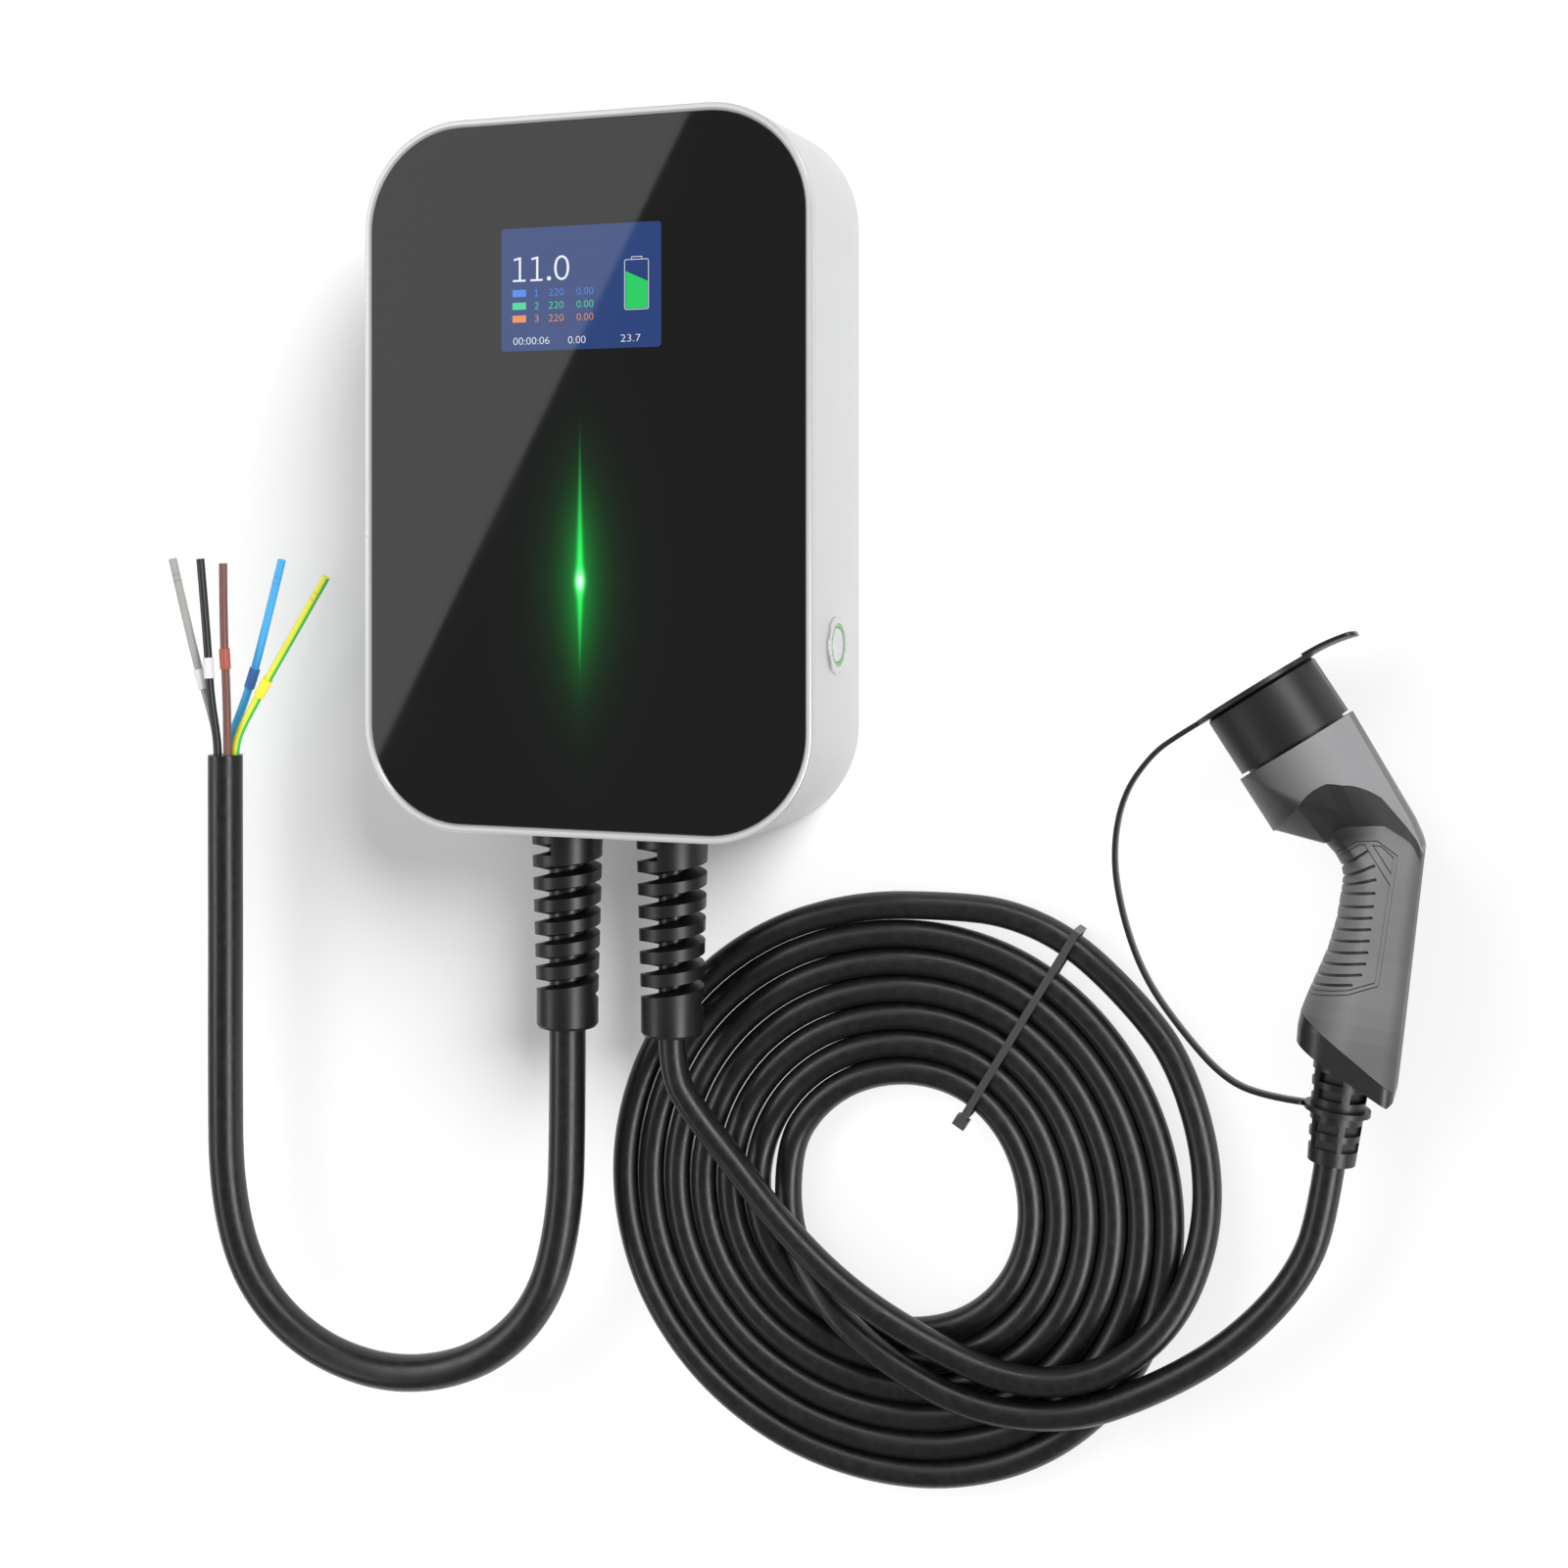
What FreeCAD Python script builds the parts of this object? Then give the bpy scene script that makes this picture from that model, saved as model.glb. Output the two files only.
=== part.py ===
import FreeCAD, Part
import math
import os
import re
import Sketcher
from FreeCAD import Placement, Rotation, Vector

# Wall charger with a tethered vehicle cable, in millimetres.
# The wall is the plane y = 0, the front faces -Y, +Z is up and the origin is the centre of the wall face.

doc = FreeCAD.newDocument("wall_charger")
sheet = doc.addObject("Spreadsheet::Sheet", "sizes")

housing_sizes = {
    "housing_width": 240,
    "housing_height": 355,
    "housing_depth": 74,
    "corner_radius": 54,
    "shell_wall": 4,
    "rebate_depth": 8,
    "rebate_step": 2,
    "back_edge_radius": 2.5,
    "rim_depth": 3,
    "rim_width": 4,
    "rim_radius": 1.6,
    "rim_bevel": 1.2,
    "ledge_thickness": 2.5,
    "ledge_width": 12,
    "panel_thickness": 3,
    "panel_bevel": 0.4,
    "gasket_thickness": 0.5,
    "fit_gap": 0.2,
    "seam_gap": 0.3,
}
fastening_sizes = {
    "boss_radius": 4.5,
    "boss_inset": 9.5,
    "boss_height": 108,
    "pillar_length": 6,
    "screw_shank_radius": 1.45,
    "screw_head_radius": 2.8,
    "screw_head_height": 2.4,
    "screw_length": 13,
    "screw_seat": 6,
    "screw_play": 0.15,
    "head_play": 0.7,
}
wall_plate_sizes = {
    "plate_width": 120,
    "plate_height": 160,
    "plate_thickness": 2,
    "plate_gap": 0.5,
    "plate_hole_spread": 90,
    "plate_hole_rise": 130,
    "plate_hole_radius": 2.75,
    "recess_depth": 5,
    "hook_spread": 70,
    "hook_rise": 50,
    "hook_width": 14,
    "hook_thickness": 3,
    "hook_nib": 4,
    "hook_nib_thickness": 2,
}
display_sizes = {
    "display_width": 96,
    "display_height": 71,
    "display_depth": 6,
    "display_rise": 91.5,
    "window_width": 85.5,
    "window_height": 60.6,
    "guide_length": 130,
    "guide_width": 12,
    "guide_depth": 5,
    "guide_rise": -36.4,
    "light_board_length": 146,
    "light_board_width": 22,
    "board_thickness": 1.6,
}
inner_sizes = {
    "control_board_width": 170,
    "control_board_height": 170,
    "control_board_rise": 70,
    "control_board_front": 38,
    "standoff_spread": 156,
    "standoff_rise": 154,
    "standoff_radius": 4,
    "standoff_bore_depth": 9,
    "board_screw_length": 8,
    "contactor_width": 50,
    "contactor_height": 60,
    "contactor_depth": 44,
    "contactor_side": -30,
    "supply_side": 32,
    "contactor_rise": -52,
    "supply_width": 48,
    "supply_height": 60,
    "supply_depth": 32,
    "contactor_head_inset": 6,
    "contactor_head_margin": 13,
    "contactor_head_height": 8,
    "relay_width": 28,
    "relay_length": 20,
    "relay_height": 14,
    "relay_rise": -25,
    "relay_side": -22.5,
    "relay_spread": 45,
    "processor_side": 20,
    "processor_rise": 30,
    "processor_width": 18,
    "driver_side": -35,
    "driver_rise": 45,
    "driver_width": 34,
    "driver_length": 12,
    "chip_height": 3,
    "terminal_width": 54,
    "terminal_height": 24,
    "terminal_depth": 46,
    "terminal_rise": -116,
    "terminal_poles": 5,
    "sensor_width": 40,
    "sensor_height": 16,
    "sensor_depth": 54,
    "sensor_rise": -145,
    "sensor_play": 0.6,
}
cable_sizes = {
    "cable_plane": 38,
    "input_side": -23.6,
    "output_side": 33.8,
    "input_cable": 18.5,
    "output_cable": 13.8,
    "bore_play": 0.3,
    "relief_length": 98.6,
    "relief_top_radius": 17.8,
    "relief_end_radius": 15.6,
    "relief_end_collar": 15,
    "relief_top_collar": 4,
    "spiral_pitch": 11.3,
    "spiral_gap": 6.8,
    "spiral_root": 1.4,
    "neck_radius": 12,
    "neck_play": 0.2,
    "gland_seal_thickness": 1.6,
    "gland_seal_radius": 16,
    "gland_nut_flats": 33,
    "gland_nut_height": 6,
    "neck_end": 1,
}
button_sizes = {
    "button_plane": 40,
    "button_rise": -82.7,
    "button_flange_radius": 13.9,
    "button_flange_height": 1.5,
    "button_barrel_radius": 10.8,
    "button_barrel_length": 16,
    "button_bore_radius": 8.8,
    "button_floor": 2,
    "button_cap_radius": 8.5,
    "button_cap_height": 4.8,
    "button_proud": 1.3,
    "button_travel": 2.5,
    "button_stem_radius": 2,
    "button_stem_play": 0.5,
    "light_ring_radius": 10.3,
    "light_ring_height": 1.1,
    "light_ring_play": 0.15,
    "button_nut_flats": 27,
    "button_nut_height": 4,
    "switch_side": 14,
    "switch_length": 11,
    "spring_radius": 5.4,
    "spring_wire": 0.9,
    "spring_turns": 3,
}
conductor_sizes = {
    "conductor": 4.4,
    "marker_radius": 2.85,
    "marker_length": 11,
    "marker_play": 0.15,
}
coil_sizes = {
    "coil_side": 134.7,
    "coil_drop": 351.2,
    "coil_half_width": 147.9,
    "coil_half_height": 145,
    "coil_hole_side": 146.3,
    "coil_hole_drop": 358,
    "coil_hole_radius": 56.5,
    "coil_edge": 3.5,
    "coil_wall_gap": 1.5,
    "tie_inner_side": 177.2,
    "tie_inner_drop": 312.6,
    "tie_outer_side": 232.6,
    "tie_outer_drop": 219.8,
    "tie_width": 3.6,
    "tie_thickness": 1.2,
    "tie_head": 6.5,
}
connector_sizes = {
    "connector_plane": 31,
    "nose_side": 321.2,
    "nose_drop": 99.9,
    "nose_tilt": 33,
    "nose_radius": 28,
    "nose_flat": 27.2,
    "nose_length": 28.8,
    "nose_wall": 3,
    "nose_floor": 4,
    "block_base": 2,
    "nose_collar": 8,
    "nose_collar_radius": 24.6,
    "nose_seam": 1.4,
    "nose_edge": 1.5,
    "tower_drop": 5,
    "power_tower_radius": 6,
    "signal_tower_radius": 4.2,
    "power_sleeve_radius": 4.2,
    "signal_sleeve_radius": 2.6,
    "power_bore_radius": 3,
    "signal_bore_radius": 1.55,
    "sleeve_play": 0.1,
    "tower_pitch": 16,
    "tower_low_row": 13.8,
    "tower_low_spread": 8,
    "tower_high_row": 12.5,
    "tower_high_spread": 7.4,
    "head_radius": 30,
    "head_back": 28.3,
    "handle_shift": 39.8,
    "handle_fall": 173.1,
    "handle_lean": 6.5,
    "handle_back": 20.5,
    "handle_back_corner": 6,
    "handle_wall": 3,
    "spine_width": 20,
    "spine_thickness": 3.2,
    "spine_length": 66,
    "part_gap": 0.15,
    "collar_seam_angle": 32,
    "collar_seam_rise": 12.3,
    "collar_height": 11,
    "collar_lip_angle": 25.6,
    "collar_tip": 1.7,
    "collar_wall": 2.6,
    "groove_count": 12,
    "groove_pitch": 5.09,
    "groove_spread": 0.8,
    "groove_lean": 13,
    "groove_fan": 9.3,
    "groove_width": 1.5,
    "groove_depth": 0.9,
    "groove_start": 44.1,
    "groove_reach": 2.3,
    "line_width": 0.5,
    "line_depth": 0.5,
}
boot_sizes = {
    "boot_side": -3.6,
    "boot_top": 0,
    "boot_end": -40.5,
    "boot_top_radius": 12.8,
    "boot_end_radius": 10.6,
    "boot_sleeve_wall": 1.6,
    "boot_head": 24,
    "boot_window_height": 4.6,
    "boot_window_width": 11.2,
    "boot_window_turn": 37,
    "boot_windows": 5,
    "boot_window_pitch": 7.6,
    "ring_rise": -16.3,
    "ring_height": 2.4,
    "ring_width": 2.6,
    "ring_play": 0.15,
    "strap_thickness": 2.4,
    "strap_width": 5,
}
cap_sizes = {
    "cap_radius": 30.5,
    "cap_shift": -2.1,
    "cap_thickness": 2.2,
    "cap_skirt_depth": 4,
    "cap_skirt_wall": 1.4,
    "cap_play": 0.3,
    "tab_length": 22,
    "tab_width": 18,
    "tab_thickness": 1.6,
    "tab_sag": 1.6,
    "tab_corner": 5,
    "cap_travel": 40,
}


def fill_sheet(*groups):
    row = 1
    for group in groups:
        for name, value in group.items():
            sheet.set(f"A{row}", name)
            sheet.set(f"B{row}", str(value))
            sheet.setAlias(f"B{row}", name)
            row += 1
    doc.recompute()


fill_sheet(
    housing_sizes,
    fastening_sizes,
    wall_plate_sizes,
    display_sizes,
    inner_sizes,
    cable_sizes,
    button_sizes,
    conductor_sizes,
    coil_sizes,
    connector_sizes,
    boot_sizes,
    cap_sizes,
)


def tied(text):
    # The expression with each size pointed at its cell in the sheet.
    def point(word):
        name = word.group()
        return "sizes." + name if sheet.getCellFromAlias(name) else name

    return re.sub(r"[a-z][a-z0-9_]*", point, text)


def size(text):
    return float(sheet.evalExpression(tied(text)))


def bind(item, **expressions):
    for name, text in expressions.items():
        item.setExpression(name, tied(text))


def place(item, x="0", y="0", z="0"):
    for axis, text in zip("xyz", (x, y, z)):
        item.setExpression("Placement.Base." + axis, tied(text))


# Sketches, drawn on a body's own origin planes

def new_body(name):
    item = doc.addObject("PartDesign::Body", name)
    item.Label = name
    return item


def origin_plane(owner, role):
    for feature in owner.Origin.OriginFeatures:
        if feature.Role == role:
            return feature
    raise ValueError(role)


def sketch(owner, name, role, lift="0", across="0", up="0"):
    drawing = owner.newObject("Sketcher::SketchObject", owner.Name + "_" + name)
    drawing.AttachmentSupport = [(origin_plane(owner, role), "")]
    drawing.MapMode = "FlatFace"
    for axis, text in zip("xyz", (across, up, lift)):
        drawing.setExpression("AttachmentOffset.Base." + axis, tied(text))
    return drawing


def drive(drawing, constraint, name, text):
    index = drawing.addConstraint(constraint)
    drawing.renameConstraint(index, name)
    drawing.setExpression("Constraints." + name, tied(text))


def drive_point(drawing, geometry, point, across, up):
    for kind, axis, text in (("DistanceX", -2, across), ("DistanceY", -1, up)):
        if text == "0":
            drawing.addConstraint(Sketcher.Constraint("PointOnObject", geometry, point, axis))
        else:
            measure = Sketcher.Constraint(kind, -1, 1, geometry, point, size(text))
            drive(drawing, measure, f"{kind.lower()}_{geometry}_{point}", text)


def circle(drawing, radius, across="0", up="0"):
    centre = Vector(size(across), size(up), 0)
    ring = drawing.addGeometry(Part.Circle(centre, Vector(0, 0, 1), size(radius)))
    drive(drawing, Sketcher.Constraint("Radius", ring, size(radius)), f"radius_{ring}", radius)
    drive_point(drawing, ring, 3, across, up)


def outline(drawing, points):
    # A closed polygon whose corners are given as pairs of expressions.
    corners = [Vector(size(across), size(up), 0) for across, up in points]
    first = drawing.GeometryCount
    count = len(corners)
    for index in range(count):
        drawing.addGeometry(Part.LineSegment(corners[index], corners[(index + 1) % count]))
    for index in range(count):
        following = first + (index + 1) % count
        drawing.addConstraint(Sketcher.Constraint("Coincident", first + index, 2, following, 1))
    for index, (across, up) in enumerate(points):
        drive_point(drawing, first + index, 1, across, up)


def rounded_rectangle(drawing, wide, tall, corner):
    half_wide = size(wide) / 2
    half_tall = size(tall) / 2
    radius = size(corner)
    x = half_wide - radius
    y = half_tall - radius
    first = drawing.GeometryCount
    sides = (
        (Vector(-x, -half_tall, 0), Vector(x, -half_tall, 0), Vector(x, -y, 0)),
        (Vector(half_wide, -y, 0), Vector(half_wide, y, 0), Vector(x, y, 0)),
        (Vector(x, half_tall, 0), Vector(-x, half_tall, 0), Vector(-x, y, 0)),
        (Vector(-half_wide, y, 0), Vector(-half_wide, -y, 0), Vector(-x, -y, 0)),
    )
    for index, (start, end, centre) in enumerate(sides):
        drawing.addGeometry(Part.LineSegment(start, end))
        turn = math.radians(90 * index - 90)
        round_corner = Part.Circle(centre, Vector(0, 0, 1), radius)
        drawing.addGeometry(Part.ArcOfCircle(round_corner, turn, turn + math.pi / 2))
    for index in range(8):
        following = first + (index + 1) % 8
        drawing.addConstraint(Sketcher.Constraint("Tangent", first + index, 2, following, 1))
    for index, kind in enumerate(("Horizontal", "Vertical", "Horizontal", "Vertical")):
        drawing.addConstraint(Sketcher.Constraint(kind, first + 2 * index))
    for arc in (3, 5, 7):
        drawing.addConstraint(Sketcher.Constraint("Equal", first + 1, first + arc))
    middle = Sketcher.Constraint("Symmetric", first + 1, 3, first + 5, 3, -1, 1)
    drawing.addConstraint(middle)
    drive(drawing, Sketcher.Constraint("Radius", first + 1, radius), f"corner_{first}", corner)
    across = Sketcher.Constraint("DistanceX", first + 6, 1, first + 2, 1, 2 * half_wide)
    drive(drawing, across, f"wide_{first}", wide)
    upward = Sketcher.Constraint("DistanceY", first, 1, first + 4, 1, 2 * half_tall)
    drive(drawing, upward, f"tall_{first}", tall)


# Features

def feature(owner, kind, drawing, suffix):
    made = owner.newObject("PartDesign::" + kind, drawing.Name + "_" + suffix)
    made.Profile = drawing
    drawing.Visibility = False
    return made


def pad(owner, drawing, length, reverse=False):
    made = feature(owner, "Pad", drawing, "pad")
    bind(made, Length=length)
    made.Reversed = reverse
    doc.recompute()
    return made


def removed_something(owner, made, before):
    doc.recompute()
    if not owner.Shape.Volume < before - 0.01:
        raise ValueError(made.Name + " removes nothing")


def pocket(owner, drawing, length, reverse=False):
    before = owner.Shape.Volume
    made = feature(owner, "Pocket", drawing, "pocket")
    bind(made, Length=length)
    made.Reversed = reverse
    removed_something(owner, made, before)
    return made


def revolve(owner, drawing):
    made = feature(owner, "Revolution", drawing, "turned")
    made.ReferenceAxis = (drawing, ["V_Axis"])
    made.Angle = 360
    doc.recompute()
    return made


def dress(owner, kind, name, wanted, **sizes_of):
    tip = owner.Tip
    edges = [f"Edge{index + 1}" for index, edge in enumerate(tip.Shape.Edges) if wanted(edge)]
    if not edges:
        raise ValueError(name + " finds no edge")
    made = owner.newObject("PartDesign::" + kind, owner.Name + "_" + name)
    made.Base = (tip, edges)
    bind(made, **sizes_of)
    doc.recompute()
    return made


def lies_at(edge, axis, value):
    box = edge.BoundBox
    low = getattr(box, axis + "Min")
    high = getattr(box, axis + "Max")
    return abs(low - value) < 0.001 and abs(high - value) < 0.001


# Primitives and booleans

def block(name, wide, deep, tall, x, y, z):
    item = doc.addObject("Part::Box", name)
    bind(item, Length=wide, Width=deep, Height=tall)
    place(item, x, y, z)
    return item


def cylinder(name, radius, height, x="0", y="0", z="0"):
    item = doc.addObject("Part::Cylinder", name)
    bind(item, Radius=radius, Height=height)
    place(item, x, y, z)
    return item


def cut(name, base, *tools):
    item = doc.addObject("Part::Cut", name)
    item.Base = base
    item.Tool = tools[0] if len(tools) == 1 else fuse(name + "_tools", *tools)
    return item


def fuse(name, *pieces):
    item = doc.addObject("Part::MultiFuse", name)
    item.Shapes = list(pieces)
    return item


def common(name, *pieces):
    item = doc.addObject("Part::MultiCommon", name)
    item.Shapes = list(pieces)
    return item


def solid_feature(name, shape, placement=Placement()):
    item = doc.addObject("Part::Feature", name)
    item.Label = name
    item.Shape = shape
    item.Placement = placement * shape.Placement
    return item


def sheet_vector(x, y, z):
    return Vector(size(x), size(y), size(z))


# Housing

screw_places = [
    (side + "(housing_width / 2 - boss_inset)", rise)
    for side in ("-", "")
    for rise in ("-boss_height", "0", "boss_height")
]


def rear_shell():
    shell = new_body("rear_shell")
    depth = "housing_depth - rim_depth - seam_gap"
    wall = sketch(shell, "outside", "XZ_Plane")
    rounded_rectangle(wall, "housing_width", "housing_height", "corner_radius")
    pad(shell, wall, depth)
    dress(shell, "Fillet", "back_edge", lambda edge: lies_at(edge, "Y", 0), Radius="back_edge_radius")

    cavity = sketch(shell, "cavity", "XZ_Plane", lift=depth)
    rounded_rectangle(
        cavity,
        "housing_width - 2 * shell_wall",
        "housing_height - 2 * shell_wall",
        "corner_radius - shell_wall",
    )
    pocket(shell, cavity, depth + " - shell_wall")
    rebate = sketch(shell, "rebate", "XZ_Plane", lift=depth)
    rounded_rectangle(
        rebate,
        "housing_width - 2 * (shell_wall - rebate_step)",
        "housing_height - 2 * (shell_wall - rebate_step)",
        "corner_radius - shell_wall + rebate_step",
    )
    pocket(shell, rebate, "rebate_depth")

    dome = sketch(shell, "dome", "XZ_Plane", lift="shell_wall")
    rounded_rectangle(
        dome,
        "plate_width + 2 * (plate_gap + shell_wall)",
        "plate_height + 2 * (plate_gap + shell_wall)",
        "shell_wall + 2",
    )
    pad(shell, dome, "recess_depth")
    recess = sketch(shell, "recess", "XZ_Plane")
    rounded_rectangle(recess, "plate_width + 2 * plate_gap", "plate_height + 2 * plate_gap", "2")
    pocket(shell, recess, "recess_depth", reverse=True)

    bosses = sketch(shell, "bosses", "XZ_Plane", lift="shell_wall")
    for x, z in screw_places:
        circle(bosses, "boss_radius", x, z)
    pad(shell, bosses, boss_end + " - shell_wall")
    holes = sketch(shell, "screw_holes", "XZ_Plane")
    heads = sketch(shell, "head_wells", "XZ_Plane")
    for x, z in screw_places:
        circle(holes, "screw_shank_radius + screw_play", x, z)
        circle(heads, "screw_head_radius + head_play", x, z)
    pocket(shell, holes, "housing_depth", reverse=True)
    pocket(shell, heads, boss_end + " - screw_seat", reverse=True)

    slots = sketch(shell, "hook_slots", "XZ_Plane")
    for side in ("-1", "1"):
        left = f"{side} * hook_spread / 2 - hook_width / 2 - plate_gap"
        right = f"{side} * hook_spread / 2 + hook_width / 2 + plate_gap"
        low = "hook_rise - hook_thickness - plate_gap"
        high = "hook_rise + hook_nib + plate_gap"
        outline(slots, [(left, low), (right, low), (right, high), (left, high)])
    pocket(shell, slots, "recess_depth + shell_wall + 1", reverse=True)

    glands = sketch(shell, "gland_holes", "XY_Plane", lift="-housing_height / 2")
    for side in ("input_side", "output_side"):
        circle(glands, "neck_radius + neck_play", side, "-cable_plane")
    pocket(shell, glands, "shell_wall + 1", reverse=True)
    button = sketch(shell, "button_hole", "YZ_Plane", lift="housing_width / 2")
    circle(button, "button_barrel_radius + neck_play", "-button_plane", "button_rise")
    pocket(shell, button, "shell_wall + 1")
    return shell


ledge_back = "housing_depth - panel_thickness - gasket_thickness - ledge_thickness"
boss_end = "(" + ledge_back + " - pillar_length - seam_gap)"


def front_bezel():
    bezel = new_body("front_bezel")
    rim = sketch(bezel, "rim", "XZ_Plane", lift="housing_depth - rim_depth")
    rounded_rectangle(rim, "housing_width", "housing_height", "corner_radius")
    pad(bezel, rim, "rim_depth")
    lip = sketch(bezel, "lip", "XZ_Plane", lift=ledge_back)
    inset = "2 * (shell_wall - rebate_step + fit_gap)"
    rounded_rectangle(
        lip,
        "housing_width - " + inset,
        "housing_height - " + inset,
        "corner_radius - shell_wall + rebate_step - fit_gap",
    )
    pad(bezel, lip, "housing_depth - rim_depth - (" + ledge_back + ")")
    seat = sketch(bezel, "panel_seat", "XZ_Plane", lift="housing_depth")
    rounded_rectangle(
        seat,
        "housing_width - 2 * rim_width",
        "housing_height - 2 * rim_width",
        "corner_radius - rim_width",
    )
    pocket(bezel, seat, "panel_thickness + gasket_thickness")
    window = sketch(bezel, "window", "XZ_Plane", lift="housing_depth")
    rounded_rectangle(window, *inside_rim("rim_width + ledge_width"))
    pocket(bezel, window, "housing_depth")
    pillars = sketch(bezel, "pillars", "XZ_Plane", lift=boss_end + " + seam_gap")
    pilots = sketch(bezel, "pilots", "XZ_Plane", lift=boss_end)
    for x, z in screw_places:
        circle(pillars, "boss_radius", x, z)
        circle(pilots, "screw_shank_radius + screw_play", x, z)
    pad(bezel, pillars, "pillar_length")
    pocket(bezel, pilots, "screw_length - screw_seat + 1", reverse=True)
    dress(bezel, "Fillet", "rim_round", on_rim("rim_width - 1", outside=True), Radius="rim_radius")
    dress(bezel, "Chamfer", "rim_bevel", on_rim("rim_width - 1", outside=False), Size="rim_bevel")
    return bezel


def on_rim(inset, outside):
    # Picks the front edges that lie outside the rim's middle line, or those inside it.
    front = -size("housing_depth")
    across = size(f"housing_width / 2 - ({inset})")
    upward = size(f"housing_height / 2 - ({inset})")
    corner = size(f"corner_radius - ({inset})")

    def wanted(edge):
        point = edge.valueAt((edge.FirstParameter + edge.LastParameter) / 2)
        beyond_x = abs(point.x) - (across - corner)
        beyond_z = abs(point.z) - (upward - corner)
        if min(beyond_x, beyond_z) > 0:
            reach = math.hypot(beyond_x, beyond_z)
        else:
            reach = max(beyond_x - across + corner, beyond_z - upward + corner) + corner
        return lies_at(edge, "Y", front) and (reach > corner) == outside

    return wanted


def inside_rim(inset):
    return (
        f"housing_width - 2 * ({inset})",
        f"housing_height - 2 * ({inset})",
        f"corner_radius - ({inset})",
    )


def front_panel():
    panel = new_body("front_panel")
    face = sketch(panel, "face", "XZ_Plane", lift="housing_depth - panel_thickness")
    rounded_rectangle(face, *inside_rim("rim_width + fit_gap"))
    pad(panel, face, "panel_thickness")
    front = -size("housing_depth")
    dress(panel, "Chamfer", "bevel", lambda edge: lies_at(edge, "Y", front), Size="panel_bevel")
    return panel


def panel_gasket():
    gasket = new_body("panel_gasket")
    ring = sketch(gasket, "ring", "XZ_Plane", lift="housing_depth - panel_thickness - gasket_thickness")
    rounded_rectangle(ring, *inside_rim("rim_width + fit_gap"))
    rounded_rectangle(ring, *inside_rim("rim_width + ledge_width"))
    pad(gasket, ring, "gasket_thickness")
    return gasket


def housing_seal():
    seal = new_body("housing_seal")
    floor = "housing_depth - rim_depth - seam_gap - rebate_depth"
    ring = sketch(seal, "ring", "XZ_Plane", lift=floor)
    rounded_rectangle(ring, *inside_rim("shell_wall - rebate_step + fit_gap"))
    rounded_rectangle(ring, *inside_rim("shell_wall - fit_gap"))
    pad(seal, ring, ledge_back + " - (" + floor + ")")
    return seal


def wall_plate():
    plate = new_body("wall_plate")
    face = sketch(plate, "face", "XZ_Plane")
    rounded_rectangle(face, "plate_width", "plate_height", "4")
    pad(plate, face, "plate_thickness")
    nib_start = "(recess_depth + shell_wall + seam_gap)"
    arms = sketch(plate, "hook_arms", "XZ_Plane", lift="plate_thickness")
    nibs = sketch(plate, "hook_nibs", "XZ_Plane", lift=nib_start)
    for side in ("-1", "1"):
        left = f"{side} * hook_spread / 2 - hook_width / 2"
        right = f"{side} * hook_spread / 2 + hook_width / 2"
        low = "hook_rise - hook_thickness"
        high = "hook_rise + hook_nib"
        outline(arms, [(left, low), (right, low), (right, "hook_rise"), (left, "hook_rise")])
        outline(nibs, [(left, low), (right, low), (right, high), (left, high)])
    pad(plate, arms, nib_start + " - plate_thickness")
    pad(plate, nibs, "hook_nib_thickness")
    holes = sketch(plate, "wall_holes", "XZ_Plane")
    for side in ("-", ""):
        for rise in ("-", ""):
            circle(holes, "plate_hole_radius", side + "plate_hole_spread / 2", rise + "plate_hole_rise / 2")
    pocket(plate, holes, "plate_thickness", reverse=True)
    return plate


def screw(length, axis=Vector(0, -1, 0)):
    # A pan head below its seat at the origin, and the shank along the axis.
    head_height = size("screw_head_height")
    head = Part.makeCylinder(size("screw_head_radius"), head_height, axis * -head_height, axis)
    shank = Part.makeCylinder(size("screw_shank_radius"), length, Vector(), axis)
    side = size("screw_head_radius") * 0.9
    drive_socket = Part.makeBox(side, side, side, Vector(-side / 2, -side / 2, -head_height - 0.7 * side))
    drive_socket.Placement = Placement(Vector(), Rotation(Vector(0, 0, 1), axis))
    return head.fuse(shank).cut(drive_socket)


def copies(shape, places):
    return Part.makeCompound([shape.translated(place_at) for place_at in places])


def housing_screws():
    seat = "-(" + boss_end + " - screw_seat)"
    places = [sheet_vector(x, seat, z) for x, z in screw_places]
    return solid_feature("housing_screws", copies(screw(size("screw_length")), places))


# Front electronics

def display_module():
    module = new_body("display_module")
    back = "housing_depth - panel_thickness - display_depth"
    case = sketch(module, "case", "XZ_Plane", lift=back, up="display_rise")
    rounded_rectangle(case, "display_width", "display_height", "1.5")
    pad(module, case, "display_depth")
    glass = sketch(module, "glass", "XZ_Plane", lift="housing_depth - panel_thickness", up="display_rise")
    rounded_rectangle(glass, "window_width", "window_height", "2")
    pocket(module, glass, "0.6")
    return module


def light_guide():
    # A spindle with pointed ends: two arcs that meet on the centre line.
    half = size("guide_length / 2")
    bulge = size("guide_width / 2")
    face_depth = size("housing_depth - panel_thickness")
    top = Vector(0, 0, half)
    foot = Vector(0, 0, -half)
    right = Part.Arc(foot, Vector(bulge, 0, 0), top).toShape()
    left = Part.Arc(top, Vector(-bulge, 0, 0), foot).toShape()
    lens = Part.Face(Part.Wire([right, left])).extrude(Vector(0, size("guide_depth"), 0))
    middle = Vector(0, -face_depth, size("guide_rise"))
    return solid_feature("light_guide", lens, Placement(middle, Rotation()))


def led_board():
    board = new_body("led_board")
    lift = "housing_depth - panel_thickness - guide_depth - board_thickness"
    face = sketch(board, "face", "XZ_Plane", lift=lift, up="guide_rise")
    rounded_rectangle(face, "light_board_width", "light_board_length", "2")
    pad(board, face, "board_thickness")
    return board


# Boards and power parts

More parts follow.
